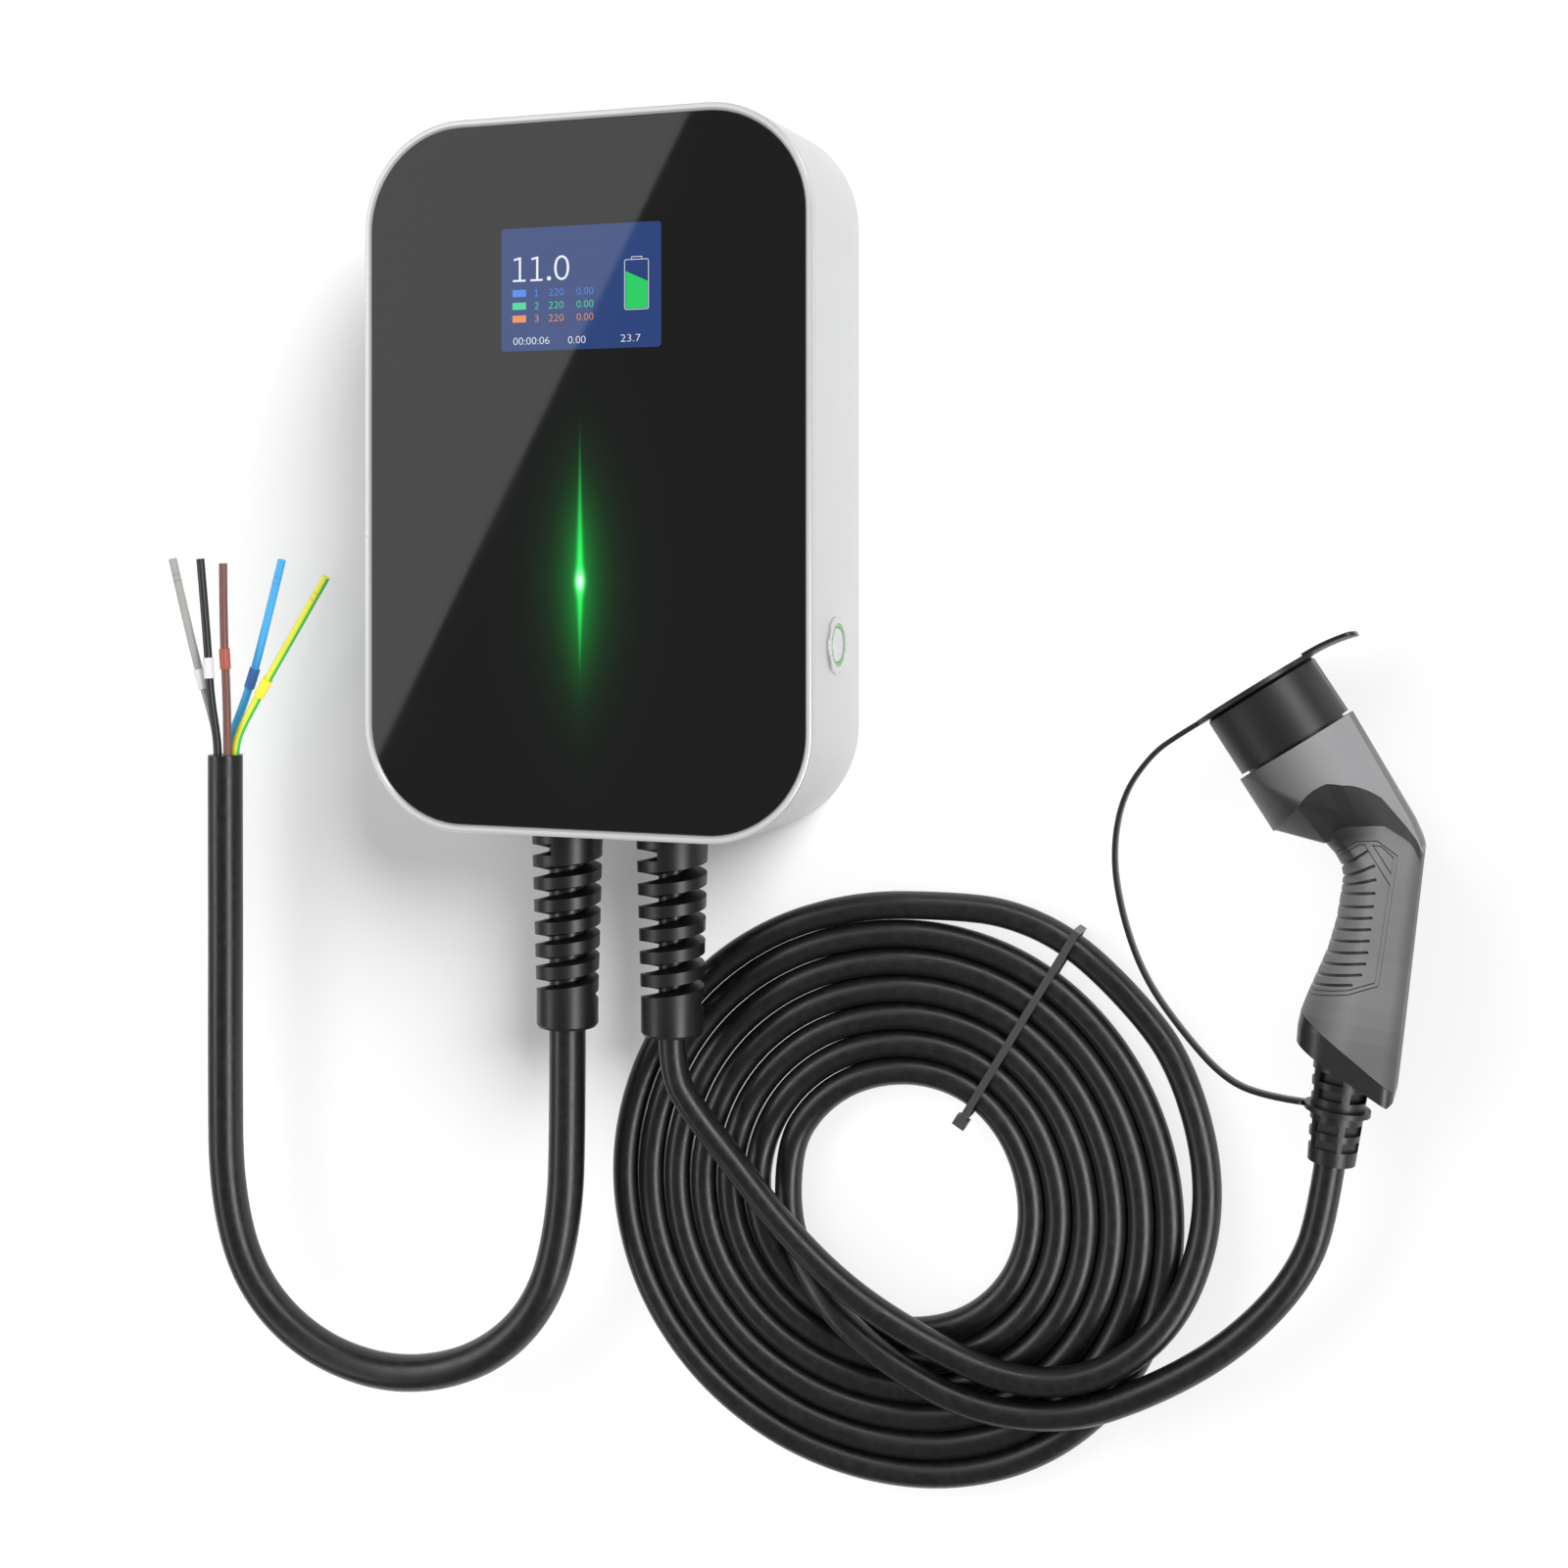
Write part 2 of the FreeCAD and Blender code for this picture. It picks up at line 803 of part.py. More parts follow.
standoff_places = [
    (side + "standoff_spread / 2", "control_board_rise " + rise + " standoff_rise / 2")
    for side in ("-", "")
    for rise in ("-", "+")
]


def control_board():
    board = new_body("control_board")
    face = sketch(board, "face", "XZ_Plane", lift="control_board_front", up="control_board_rise")
    rounded_rectangle(face, "control_board_width", "control_board_height", "3")
    pad(board, face, "board_thickness")
    holes = sketch(board, "holes", "XZ_Plane", lift="control_board_front")
    for x, z in standoff_places:
        circle(holes, "screw_shank_radius + screw_play", x, z)
    pocket(board, holes, "board_thickness", reverse=True)
    relays = sketch(board, "relays", "XZ_Plane", lift="control_board_front + board_thickness")
    for side in ("relay_side - relay_spread / 2", "relay_side + relay_spread / 2"):
        outline(relays, component(side, "relay_rise", "relay_width", "relay_length"))
    pad(board, relays, "relay_height")
    chips = sketch(board, "chips", "XZ_Plane", lift="control_board_front + board_thickness")
    outline(chips, component("processor_side", "processor_rise", "processor_width", "processor_width"))
    outline(chips, component("driver_side", "driver_rise", "driver_width", "driver_length"))
    pad(board, chips, "chip_height")
    return board


def component(side, rise, wide, tall):
    left = f"{side} - {wide} / 2"
    right = f"{side} + {wide} / 2"
    low = f"control_board_rise + {rise} - {tall} / 2"
    high = f"control_board_rise + {rise} + {tall} / 2"
    return [(left, low), (right, low), (right, high), (left, high)]


def board_standoffs():
    length = size("control_board_front - shell_wall")
    post = Part.makeCylinder(size("standoff_radius"), length, Vector(), Vector(0, -1, 0))
    bore_depth = size("standoff_bore_depth")
    bore_start = Vector(0, -(length - bore_depth), 0)
    bore_radius = size("screw_shank_radius + screw_play")
    post = post.cut(Part.makeCylinder(bore_radius, bore_depth, bore_start, Vector(0, -1, 0)))
    places = [sheet_vector(x, "-shell_wall", z) for x, z in standoff_places]
    return solid_feature("board_standoffs", copies(post, places))


def board_screws():
    seat = "-(control_board_front + board_thickness)"
    places = [sheet_vector(x, seat, z) for x, z in standoff_places]
    turned = screw(size("board_screw_length"), Vector(0, 1, 0))
    return solid_feature("board_screws", copies(turned, places))


def contactor():
    deep = "recess_depth + shell_wall"
    base = block(
        "contactor_case",
        "contactor_width",
        "contactor_depth",
        "contactor_height",
        "contactor_side - contactor_width / 2",
        f"-({deep}) - contactor_depth",
        "contactor_rise - contactor_height / 2",
    )
    head = block(
        "contactor_head",
        "contactor_width - 2 * contactor_head_inset",
        "contactor_head_height",
        "contactor_height - 2 * contactor_head_margin",
        "contactor_side - contactor_width / 2 + contactor_head_inset",
        f"-({deep}) - contactor_depth - contactor_head_height",
        "contactor_rise - contactor_height / 2 + contactor_head_margin",
    )
    return fuse("contactor", base, head)


def power_supply():
    deep = "recess_depth + shell_wall"
    case = new_body("power_supply")
    face = sketch(case, "face", "XZ_Plane", lift=deep, across="supply_side", up="contactor_rise")
    rounded_rectangle(face, "supply_width", "supply_height", "2")
    pad(case, face, "supply_depth")
    return case


def terminal_block(name, side):
    base = block(
        name + "_case",
        "terminal_width",
        "terminal_depth",
        "terminal_height",
        f"{side} - terminal_width / 2",
        "-shell_wall - terminal_depth",
        "terminal_rise - terminal_height / 2",
    )
    wells = []
    for pole in range(int(size("terminal_poles"))):
        across = f"{side} + terminal_width * ({pole} + 0.5 - terminal_poles / 2) / terminal_poles"
        well = cylinder(
            f"{name}_well_{pole}", "3.2", "5", across, "-shell_wall - terminal_depth - 1", "terminal_rise"
        )
        well.Placement.Rotation = Rotation(Vector(1, 0, 0), -90)
        wells.append(well)
    return cut(name, base, *wells)


def leakage_sensor():
    base = block(
        "sensor_case",
        "sensor_width",
        "sensor_depth",
        "sensor_height",
        "output_side - sensor_width / 2",
        "-shell_wall - sensor_depth",
        "sensor_rise - sensor_height / 2",
    )
    passage = cylinder(
        "sensor_passage",
        "output_cable / 2 + sensor_play",
        "sensor_height + 2",
        "output_side",
        "-cable_plane",
        "sensor_rise - sensor_height / 2 - 1",
    )
    return cut("leakage_sensor", base, passage)


# Glands, strain reliefs and the cable ends that the housing holds

relief_foot = "(-housing_height / 2 - gland_seal_thickness - relief_length)"


def held_cable(name, side, thickness):
    top = "terminal_rise - terminal_height / 2"
    length = f"{top} - {relief_foot}"
    item = cylinder(name, f"{thickness} / 2", length, side, "-cable_plane", relief_foot)
    item.Label = name
    return item


def strain_relief(name, side, thickness):
    # A tapered sleeve whose wall is cut right through by one long spiral, so that it bends like a spring.
    # The spiral's flanks slope: the cut is wide outside and narrow at the bore.
    relief = new_body(name)
    bore = f"({thickness} / 2 + bore_play)"
    neck_top = "gland_seal_thickness + shell_wall + gland_nut_height + neck_end"
    profile = sketch(relief, "profile", "XZ_Plane")
    outline(
        profile,
        [
            (bore, neck_top),
            (bore, "-relief_length"),
            ("relief_end_radius - 1", "-relief_length"),
            ("relief_end_radius", "-relief_length + 1.5"),
            ("relief_end_radius", "-relief_length + relief_end_collar"),
            ("relief_top_radius", "-relief_top_collar"),
            ("relief_top_radius", "0"),
            ("neck_radius", "0"),
            ("neck_radius", neck_top),
        ],
    )
    revolve(relief, profile)
    groove = sketch(relief, "groove", "XZ_Plane")
    middle = "-relief_length + relief_end_collar"
    outline(
        groove,
        [
            (bore + " - 1", middle + " - spiral_root / 2"),
            ("relief_top_radius + 2", middle + " - spiral_gap / 2"),
            ("relief_top_radius + 2", middle + " + spiral_gap / 2"),
            (bore + " - 1", middle + " + spiral_root / 2"),
        ],
    )
    before = relief.Shape.Volume
    spiral = feature(relief, "SubtractiveHelix", groove, "spiral")
    spiral.ReferenceAxis = (groove, ["V_Axis"])
    spiral.Mode = "pitch-height-angle"
    bind(
        spiral,
        Pitch="spiral_pitch",
        Height="relief_length - relief_end_collar - relief_top_collar - spiral_gap / 2",
    )
    spiral.LeftHanded = False
    spiral.Reversed = False
    removed_something(relief, spiral, before)
    place(relief, side, "-cable_plane", "-housing_height / 2 - gland_seal_thickness")
    return relief


def gland_seal(name, side):
    seal = new_body(name)
    ring = sketch(seal, "ring", "XY_Plane")
    circle(ring, "gland_seal_radius")
    circle(ring, "neck_radius + neck_play")
    pad(seal, ring, "gland_seal_thickness")
    place(seal, side, "-cable_plane", "-housing_height / 2 - gland_seal_thickness")
    return seal


def gland_nut(name, side):
    hexagon = doc.addObject("Part::Prism", name + "_hexagon")
    hexagon.Polygon = 6
    bind(hexagon, Circumradius="gland_nut_flats / 2 / cos(30)", Height="gland_nut_height")
    thread = cylinder(name + "_thread", "neck_radius + neck_play", "gland_nut_height")
    nut = cut(name, hexagon, thread)
    place(nut, side, "-cable_plane", "-housing_height / 2 + shell_wall")
    return nut


# Push button on the right side, drawn upright and turned to face +X

def put_on_side(item):
    place(item, "housing_width / 2", "-button_plane", "button_rise")
    item.Placement.Rotation = Rotation(Vector(0, 1, 0), 90)
    return item


def turned_piece(name, points):
    piece = new_body(name)
    profile = sketch(piece, "profile", "XZ_Plane")
    outline(profile, points)
    revolve(piece, profile)
    return piece


def button_bezel():
    ring_seat = "button_flange_height - light_ring_height - light_ring_play"
    bezel = turned_piece(
        "button_bezel",
        [
            ("button_stem_radius + button_stem_play", "-button_barrel_length"),
            ("button_barrel_radius", "-button_barrel_length"),
            ("button_barrel_radius", "0"),
            ("button_flange_radius", "0"),
            ("button_flange_radius", "button_flange_height - 0.6"),
            ("button_flange_radius - 0.6", "button_flange_height"),
            ("light_ring_radius + light_ring_play", "button_flange_height"),
            ("light_ring_radius + light_ring_play", ring_seat),
            ("button_bore_radius", ring_seat),
            ("button_bore_radius", "button_floor - button_barrel_length"),
            ("button_stem_radius + button_stem_play", "button_floor - button_barrel_length"),
        ],
    )
    return put_on_side(bezel)


def button_light_ring():
    low = "button_flange_height - light_ring_height - light_ring_play"
    ring = turned_piece(
        "button_light_ring",
        [
            ("button_bore_radius", low),
            ("light_ring_radius", low),
            ("light_ring_radius", low + " + light_ring_height"),
            ("button_bore_radius", low + " + light_ring_height"),
        ],
    )
    return put_on_side(ring)


def button_cap():
    under = "button_proud - button_cap_height"
    cap = turned_piece(
        "button_cap",
        [
            ("0", "button_travel + 0.3 - button_barrel_length"),
            ("button_stem_radius", "button_travel + 0.3 - button_barrel_length"),
            ("button_stem_radius", under),
            ("button_cap_radius", under),
            ("button_cap_radius", "button_proud - 0.5"),
            ("button_cap_radius - 0.5", "button_proud"),
            ("0", "button_proud - 0.4"),
        ],
    )
    return put_on_side(cap)


def button_nut():
    hexagon = doc.addObject("Part::Prism", "button_nut_hexagon")
    hexagon.Polygon = 6
    bind(hexagon, Circumradius="button_nut_flats / 2 / cos(30)", Height="button_nut_height")
    thread = cylinder("button_nut_thread", "button_barrel_radius + neck_play", "button_nut_height")
    nut = cut("button_nut", hexagon, thread)
    place(nut, "housing_width / 2 - shell_wall - button_nut_height", "-button_plane", "button_rise")
    nut.Placement.Rotation = Rotation(Vector(0, 1, 0), 90)
    return nut


def button_switch():
    return block(
        "button_switch",
        "switch_length",
        "switch_side",
        "switch_side",
        "housing_width / 2 - button_barrel_length - switch_length",
        "-button_plane - switch_side / 2",
        "button_rise - switch_side / 2",
    )


def button_spring():
    # A light compression spring between the button's floor and its cap.
    wire = size("spring_wire")
    floor = size("button_floor - button_barrel_length")
    under = size("button_proud - button_cap_height")
    free = under - floor - wire - 0.1
    path = Part.makeHelix(free / size("spring_turns"), free, size("spring_radius"))
    start = Vector(size("spring_radius"), 0, 0)
    section = Part.makePolygon(
        [
            start + Vector(-wire / 2, 0, -wire / 2),
            start + Vector(wire / 2, 0, -wire / 2),
            start + Vector(wire / 2, 0, wire / 2),
            start + Vector(-wire / 2, 0, wire / 2),
            start + Vector(-wire / 2, 0, -wire / 2),
        ]
    )
    coil = Part.Wire(path).makePipeShell([section], True, True)
    coil.translate(Vector(0, 0, floor + wire / 2 + 0.05))
    side = sheet_vector("housing_width / 2", "-button_plane", "button_rise")
    return solid_feature("button_spring", coil, Placement(side, Rotation(Vector(0, 1, 0), 90)))


# Cords: straight runs joined by tangent arcs, each arc as large as its two runs allow

def cord_path(name, points):
    edges = []
    radii = []
    last = points[0]
    for before, corner, after in zip(points, points[1:], points[2:]):
        run_in = corner - before
        run_out = after - corner
        shorter = min(run_in.Length, run_out.Length)
        turn = run_in.getAngle(run_out)
        setback = 0.45 * shorter
        radius = setback / math.tan(turn / 2)
        run_in.normalize()
        run_out.normalize()
        start = corner - run_in * setback
        end = corner + run_out * setback
        inward = run_out - run_in
        inward.normalize()
        middle = corner + inward * (radius / math.cos(turn / 2) - radius)
        edges.append(Part.LineSegment(last, start).toShape())
        edges.append(Part.Arc(start, middle, end).toShape())
        radii.append(round(radius))
        last = end
    edges.append(Part.LineSegment(last, points[-1]).toShape())
    path = Part.Wire(edges)
    print(f"{name}: length {path.Length:.0f} mm, bend radii {radii}")
    return path


def cord(name, points, thickness):
    path = cord_path(name, points)
    radius = thickness / 2
    section = Part.Wire(Part.makeCircle(radius, points[0], points[1] - points[0]))
    tube = path.makePipeShell([section], True, True)
    expected = math.pi * radius**2 * path.Length
    if abs(tube.Volume - expected) > 0.01 * expected:
        raise ValueError(f"{name} has volume {tube.Volume:.0f}, expected {expected:.0f}")
    return solid_feature(name, tube)


def input_cable():
    # From the relief down, round a wide loop and up again to the cut end, measured from the relief's foot.
    exit_point = sheet_vector("input_side", "-cable_plane", relief_foot)
    route = [
        (0, 0, 0),
        (0, 0, -44),
        (-1.4, 0, -98),
        (-14, 0, -144),
        (-48, 0, -177),
        (-99, 0, -191.5),
        (-150, 0, -181.5),
        (-187, 0, -151),
        (-202, 0, -104),
        (-202.6, 0, -40),
        (-202.4, 0, 40),
        (-202.6, 0, 86),
        (-202.6, 0, 130.7),
    ]
    points = [exit_point + Vector(*step) for step in route]
    return cord("input_cable", points, size("input_cable"))


cut_end = Vector(-202.6, 0, 130.7)

# Each conductor: where it leaves the cut end, its bend, its marker and its tip, as offsets from that end.
conductor_routes = {
    "grey_conductor": [(-5.2, 0.6, 0), (-5.2, 0.6, 8), (-9.6, 0, 25), (-18.6, -2.5, 56), (-30.6, -4, 105.4)],
    "black_conductor": [(-1.6, -4.9, 0), (-1.6, -4.9, 8), (-5.4, -6, 32), (-6.6, -7, 62), (-11, -7, 105.4)],
    "brown_conductor": [(3.9, -3.8, 0), (3.9, -3.8, 10), (4.6, -6, 38), (3.6, -7, 66), (2.6, -6, 103)],
    "blue_conductor": [(-0.6, 5.1, 0), (-0.6, 5.1, 8), (7.6, 8, 30), (15.4, 8, 52), (31.4, 6, 105)],
    "earth_conductor": [(5, 1.9, 0), (5, 1.9, 8), (16.4, 2, 27), (29, 1, 46), (62.3, 0, 96)],
}

# Each marker sleeve sits on the straight middle of one run of its conductor.
marker_places = {
    "grey_marker": ("grey_conductor", 2),
    "black_marker": ("black_conductor", 2),
    "brown_marker": ("brown_conductor", 2),
    "blue_marker": ("blue_conductor", 2),
    "earth_marker": ("earth_conductor", 2),
}


def cut_point():
    return sheet_vector("input_side", "-cable_plane", relief_foot) + cut_end


def conductor(name):
    points = [cut_point() + Vector(*step) for step in conductor_routes[name]]
    return cord(name, points, size("conductor"))


def marker(name):
    owner, run = marker_places[name]
    start, end = (Vector(*step) for step in conductor_routes[owner][run : run + 2])
    along = end - start
    length = size("marker_length")
    middle = start + along * 0.5
    along.normalize()
    foot = cut_point() + middle - along * (length / 2)
    sleeve = Part.makeCylinder(size("marker_radius"), length, foot, along)
    bore = Part.makeCylinder(size("conductor / 2 + marker_play"), length, foot, along)
    return solid_feature(name, sleeve.cut(bore))


# Charging cable: the stretch from the housing, the tied coil and the stretch to the connector

def output_lead():
    exit_point = sheet_vector("output_side", "-cable_plane", relief_foot)
    route = [
        (40, -35.5, -314),
        (58, -30.5, -341),
        (86, -29, -373),
        (121, -31, -400),
        (163, -27, -420.5),
        (205, -24, -435.5),
        (246, -24, -427.5),
        (278, -20.5, -401),
        (293.5, -13, -364),
        (294.5, -8.4, -324),
        (281, -8.4, -279),
        (259.5, -8.4, -252),
        (229, -8.4, -225),
        (199, -8.4, -213),
        (170, -8.4, -213),
    ]
    points = [exit_point, exit_point + Vector(0, 0, -20)] + [Vector(*step) for step in route]
    return cord("output_lead", points, size("output_cable"))


def output_coil():
    thickness = size("output_cable")
    wide = size("coil_half_width")
    tall = size("coil_half_height")
    centre = Vector(size("coil_side"), -size("coil_wall_gap"), -size("coil_drop"))
    rim = Part.Ellipse(centre, wide, tall).toShape()
    rim.rotate(centre, Vector(1, 0, 0), 90)
    disc = Part.Face(Part.Wire(rim)).extrude(Vector(0, -thickness, 0))
    hole_centre = Vector(size("coil_hole_side"), 0, -size("coil_hole_drop"))
    hole = Part.makeCylinder(size("coil_hole_radius"), 2 * thickness, hole_centre, Vector(0, -1, 0))
    ring = disc.cut(hole)
    rims = [edge for edge in ring.Edges if abs(edge.BoundBox.YMax - edge.BoundBox.YMin) < 0.01]
    return solid_feature("output_coil", ring.makeChamfer(size("coil_edge"), rims))


def output_tail():
    route = [
        (84, -8.4, -372),
        (94, -11, -395),
        (111, -20.5, -412),
        (139, -22.5, -432),
        (183, -22.5, -451),
        (231, -22.5, -449.5),
        (273, -23.5, -429),
        (309, -26, -403),
        (338, -29, -369),
    ]
    held = handle_place().multVec(Vector(size("boot_side"), 0, -2))
    free = handle_place().multVec(Vector(size("boot_side"), 0, size("boot_end") - 22))
    points = [Vector(*step) for step in route] + [free, held]
    return cord("output_tail", points, size("output_cable"))


def cable_tie():
    # A flat band round the coil's section, with its square head inside the coil's hole.
    inner = sheet_vector("tie_inner_side", "0", "-tie_inner_drop")
    outer = sheet_vector("tie_outer_side", "0", "-tie_outer_drop")
    reach = (outer - inner).Length
    band = size("tie_thickness")
    wide = size("tie_width")
    back = size("coil_wall_gap - fit_gap")
    deep = size("output_cable + 2 * fit_gap")
    front = -back - deep - band
    loop = Part.makeBox(reach + 2 * band, deep + 2 * band, wide, Vector(-band, front, -wide / 2))
    space = Part.makeBox(reach, deep, 2 * wide, Vector(0, -back - deep, -wide))
    head = size("tie_head")
    lock = Part.makeBox(head * 0.8, head * 0.9, head, Vector(-head * 0.8, front, -head / 2))
    tie = loop.cut(space).fuse(lock).removeSplitter()
    along = outer - inner
    turn = -math.degrees(math.atan2(along.z, along.x))
    return solid_feature("cable_tie", tie, Placement(inner, Rotation(Vector(0, 1, 0), turn)))


# Vehicle connector: the nose frame points out of the nose, the handle frame up the handle

def nose_place():
    tip = sheet_vector("nose_side", "-connector_plane", "-nose_drop")
    return Placement(tip, Rotation(Vector(0, 1, 0), -size("nose_tilt")))


def handle_place():
    foot = sheet_vector("nose_side + handle_shift", "-connector_plane", "-nose_drop - handle_fall")
    return Placement(foot, Rotation(Vector(0, 1, 0), size("handle_lean")))


# Height up the handle, reach of its front, its thickness across and the rounding of its front corners.
handle_sections = (
    (-26, 23.6, 42, 15.5),
    (8, 24.2, 43.5, 15.5),
    (20, 24.6, 44, 15.5),
    (27, 23.9, 43.7, 15.5),
    (35, 21.9, 42.6, 15.5),
    (44, 19.2, 41, 15.5),
    (56, 15.7, 39.2, 15.5),
    (70, 13.4, 37.8, 15),
    (84, 12.7, 36.4, 14.5),
    (90, 12.8, 35.8, 14),
    (95, 14.4, 35.2, 13.5),
    (99, 17.4, 34.6, 13),
    (103, 21.8, 34, 12),
    (108, 25, 33.2, 10),
    (126, 26, 31, 8),
)


def rounded_section(left, right, half, front_corner, back_corner, z):
    front = min(front_corner, half - 0.5)
    back = min(back_corner, half - 0.5)
    middles = (
        (right - back, half - back, back, 0),
        (left + front, half - front, front, 90),
        (left + front, front - half, front, 180),
        (right - back, back - half, back, 270),
    )
    arcs = []
    for x, y, radius, turn in middles:
        arcs.append(Part.makeCircle(radius, Vector(x, y, z), Vector(0, 0, 1), turn, turn + 90))
    wire = []
    for index, arc in enumerate(arcs):
        following = arcs[(index + 1) % 4]
        wire.append(arc)
        wire.append(Part.makeLine(arc.lastVertex().Point, following.firstVertex().Point))
    return Part.Wire(wire)


def handle_form(inset, low=-26, high=126):
    wires = []
    back = size("handle_back") - inset
    back_corner = size("handle_back_corner") - inset * 0.6
    for z, front, thickness, corner in handle_sections:
        if low <= z <= high:
            half = thickness / 2 - inset
            front_corner = corner - inset * 0.6
            wires.append(rounded_section(inset - front, back, half, front_corner, back_corner, z))
    form = Part.makeLoft(wires, True, True)
    form.Placement = handle_place()
    return form


def prism(points, half_depth, placement):
    # A plate in the frame's XZ plane, as thick both ways.
    corners = [Vector(x, -half_depth, z) for x, z in points]
    face = Part.Face(Part.makePolygon(corners + corners[:1]))
    plate = face.extrude(Vector(0, 2 * half_depth, 0))
    plate.Placement = placement
    return plate


# The slope that cuts the barrel away from below, corner by corner: each corner where the slope
# starts, deep in the handle's side, and where it comes out, beyond the barrel.
head_slope = (
    ((-60, -57.2), (-60, -46)),
    ((-26.5, -57.2), (-26.5, -46)),
    ((-11, -73.3), (-11, -49)),
    ((-2.7, -74.8), (1.4, -48.8)),
    ((0.5, -75.5), (6.1, -48.4)),
    ((5.7, -78.6), (12.1, -49.8)),
    ((10.5, -82), (19.6, -47.9)),
    ((12.5, -85), (34, -45)),
    ((15, -91), (45, -70)),
    ((18, -98), (45, -90)),
    ((45, -99), (45, -99)),
    ((45, -150), (45, -150)),
    ((-60, -150), (-60, -150)),
)


def head_form():
    # The barrel behind the nose. A slope on each side cuts it away below and leaves an arched ridge.
    radius = size("head_radius")
    top = -size("nose_length + nose_seam")
    barrel = Part.makeCylinder(radius, 80, Vector(0, 0, top - 80))
    start_line = [start for start, end in head_slope]
    end_line = [end for start, end in head_slope]
    keel_line = [(x - 3, z - 0.6) for x, z in start_line]
    start_reach = 14
    end_reach = radius + 1
    near_wire = polygon_at(start_line, -start_reach)
    far_wire = polygon_at(start_line, start_reach)
    barrel = barrel.cut(Part.makeLoft([near_wire, polygon_at(keel_line, 0), far_wire], True, True))
    barrel = barrel.cut(Part.makeLoft([near_wire, polygon_at(end_line, -end_reach)], True, True))
    barrel = barrel.cut(Part.makeLoft([far_wire, polygon_at(end_line, end_reach)], True, True))
    barrel.Placement = nose_place()
    return barrel


def polygon_at(points, y):
    corners = [Vector(x, y, z) for x, z in points]
    return Part.makePolygon(corners + corners[:1])


def back_line():
    # The flat back of the head, from the nose down to the bend of the handle.
    back = size("head_back")
    return [(back, -size("nose_length + nose_seam")), (back - 3.3, -85), (back - 4.9, -93.9)]


def connector_outline():
    # The silhouette of the whole grip in the nose frame, down past the slanted seam.
    radius = size("head_radius")
    top = -size("nose_length + nose_seam")
    below_bend = [(22.1, -98.6), (-150, -420), (-200, -300)]
    return [(-radius - 1, top)] + back_line() + below_bend + [(-radius - 1, -58)]


def connector_form(inset=0):
    form = head_form().fuse(handle_form(inset))
    return form.common(prism(connector_outline(), 40, nose_place()))


def seam_half_space(angle, rise):
    # Everything below a plane that slants down towards the back of the handle.
    below = Part.makeBox(200, 200, 100, Vector(-100, -100, -100))
    tilt = Placement(Vector(0, 0, rise), Rotation(Vector(0, 1, 0), angle))
    below.Placement = handle_place() * tilt
    return below


def connector_cavity():
    wall = size("handle_wall")
    top = -size("nose_length + nose_seam")
    room = Part.makeCylinder(size("nose_collar_radius") - wall, 17, Vector(0, 0, top - 17.5))
    link = Part.makeCylinder(11, 55, Vector(0, 0, top - 65))
    room = room.fuse(link)
    room.Placement = nose_place()
    return room.fuse(handle_form(wall, -26, 108))


def grip_grooves():
    # Short round-ended slots across the front of the grip. The upper ones lie further apart and fan out.
    wide = size("groove_width")
    reach = size("groove_reach")
    count = int(size("groove_count"))
    middle = (count - 1) / 2
    slots = []
    for index in range(count):
        above = max(0, index - 7)
        z = size("groove_start") + index * size("groove_pitch") + above * size("groove_spread")
        lean = size("groove_lean") + max(0, index - 8) * size("groove_fan")
        end = reach - 5 * (abs(index - middle) / middle) ** 6
        slot = Part.makeBox(50, 60, wide, Vector(-50, -30, -wide / 2))
        slot = slot.fuse(Part.makeCylinder(wide / 2, 60, Vector(0, -30, 0), Vector(0, 1, 0)))
        slot.Placement = Placement(Vector(end, 0, z), Rotation(Vector(0, 1, 0), -lean))
        slots.append(slot)
    tool = slots[0].multiFuse(slots[1:])
    tool.Placement = handle_place()
    return tool.common(handle_form(-0.5)).cut(handle_form(size("groove_depth")))


# The fine lines round the grip, its inlay and the small panel above it, in the handle frame.
grip_top = ((-30, 90), (-16, 101), (-8.2, 107.1), (1, 108.9), (10.2, 103.7), (10.7, 100))
grip_foot = ((9.3, 45.6), (-3.5, 39.4), (-30, 33))
inlay_top = ((-30, 88), (-14.6, 99.4), (-6.8, 105.9), (-4.2, 106.4), (8.7, 90.4))
inlay_foot = ((7.6, 46.8), (-3.5, 41.4), (-30, 35))
small_panel = ((-1.2, 106.6), (2.9, 106.8), (8.8, 102.6), (9, 94.2))


def grip_line_cuts():
    wide = size("line_width")
    depth = size("line_depth")
    rings = []
    for points in (grip_top + grip_foot, inlay_top + inlay_foot, small_panel):
        outer = Part.Face(polygon_at(points, -40))
        inner = Part.Face(outer.OuterWire.makeOffset2D(-wide, 2))
        rings.append(outer.cut(inner).extrude(Vector(0, 80, 0)))
    tool = rings[0].multiFuse(rings[1:])
    tool.Placement = handle_place()
    return tool.common(handle_form(-0.5)).cut(handle_form(depth))


def spine_strip(gap):
    # The strip let into the flat back of the head, down to the bend.
    thick = size("spine_thickness")
    foot = -size("nose_length + nose_seam + spine_length") - gap
    line = back_line()
    outside = [(x + 4, max(z, foot)) for x, z in line[:2]] + [(line[2][0] + 4, foot)]
    inside = [(x - thick - gap, max(z, foot)) for x, z in line[:2]] + [(line[2][0] - thick - gap, foot)]
    return prism(outside + inside[::-1], size("spine_width / 2") + gap, nose_place())


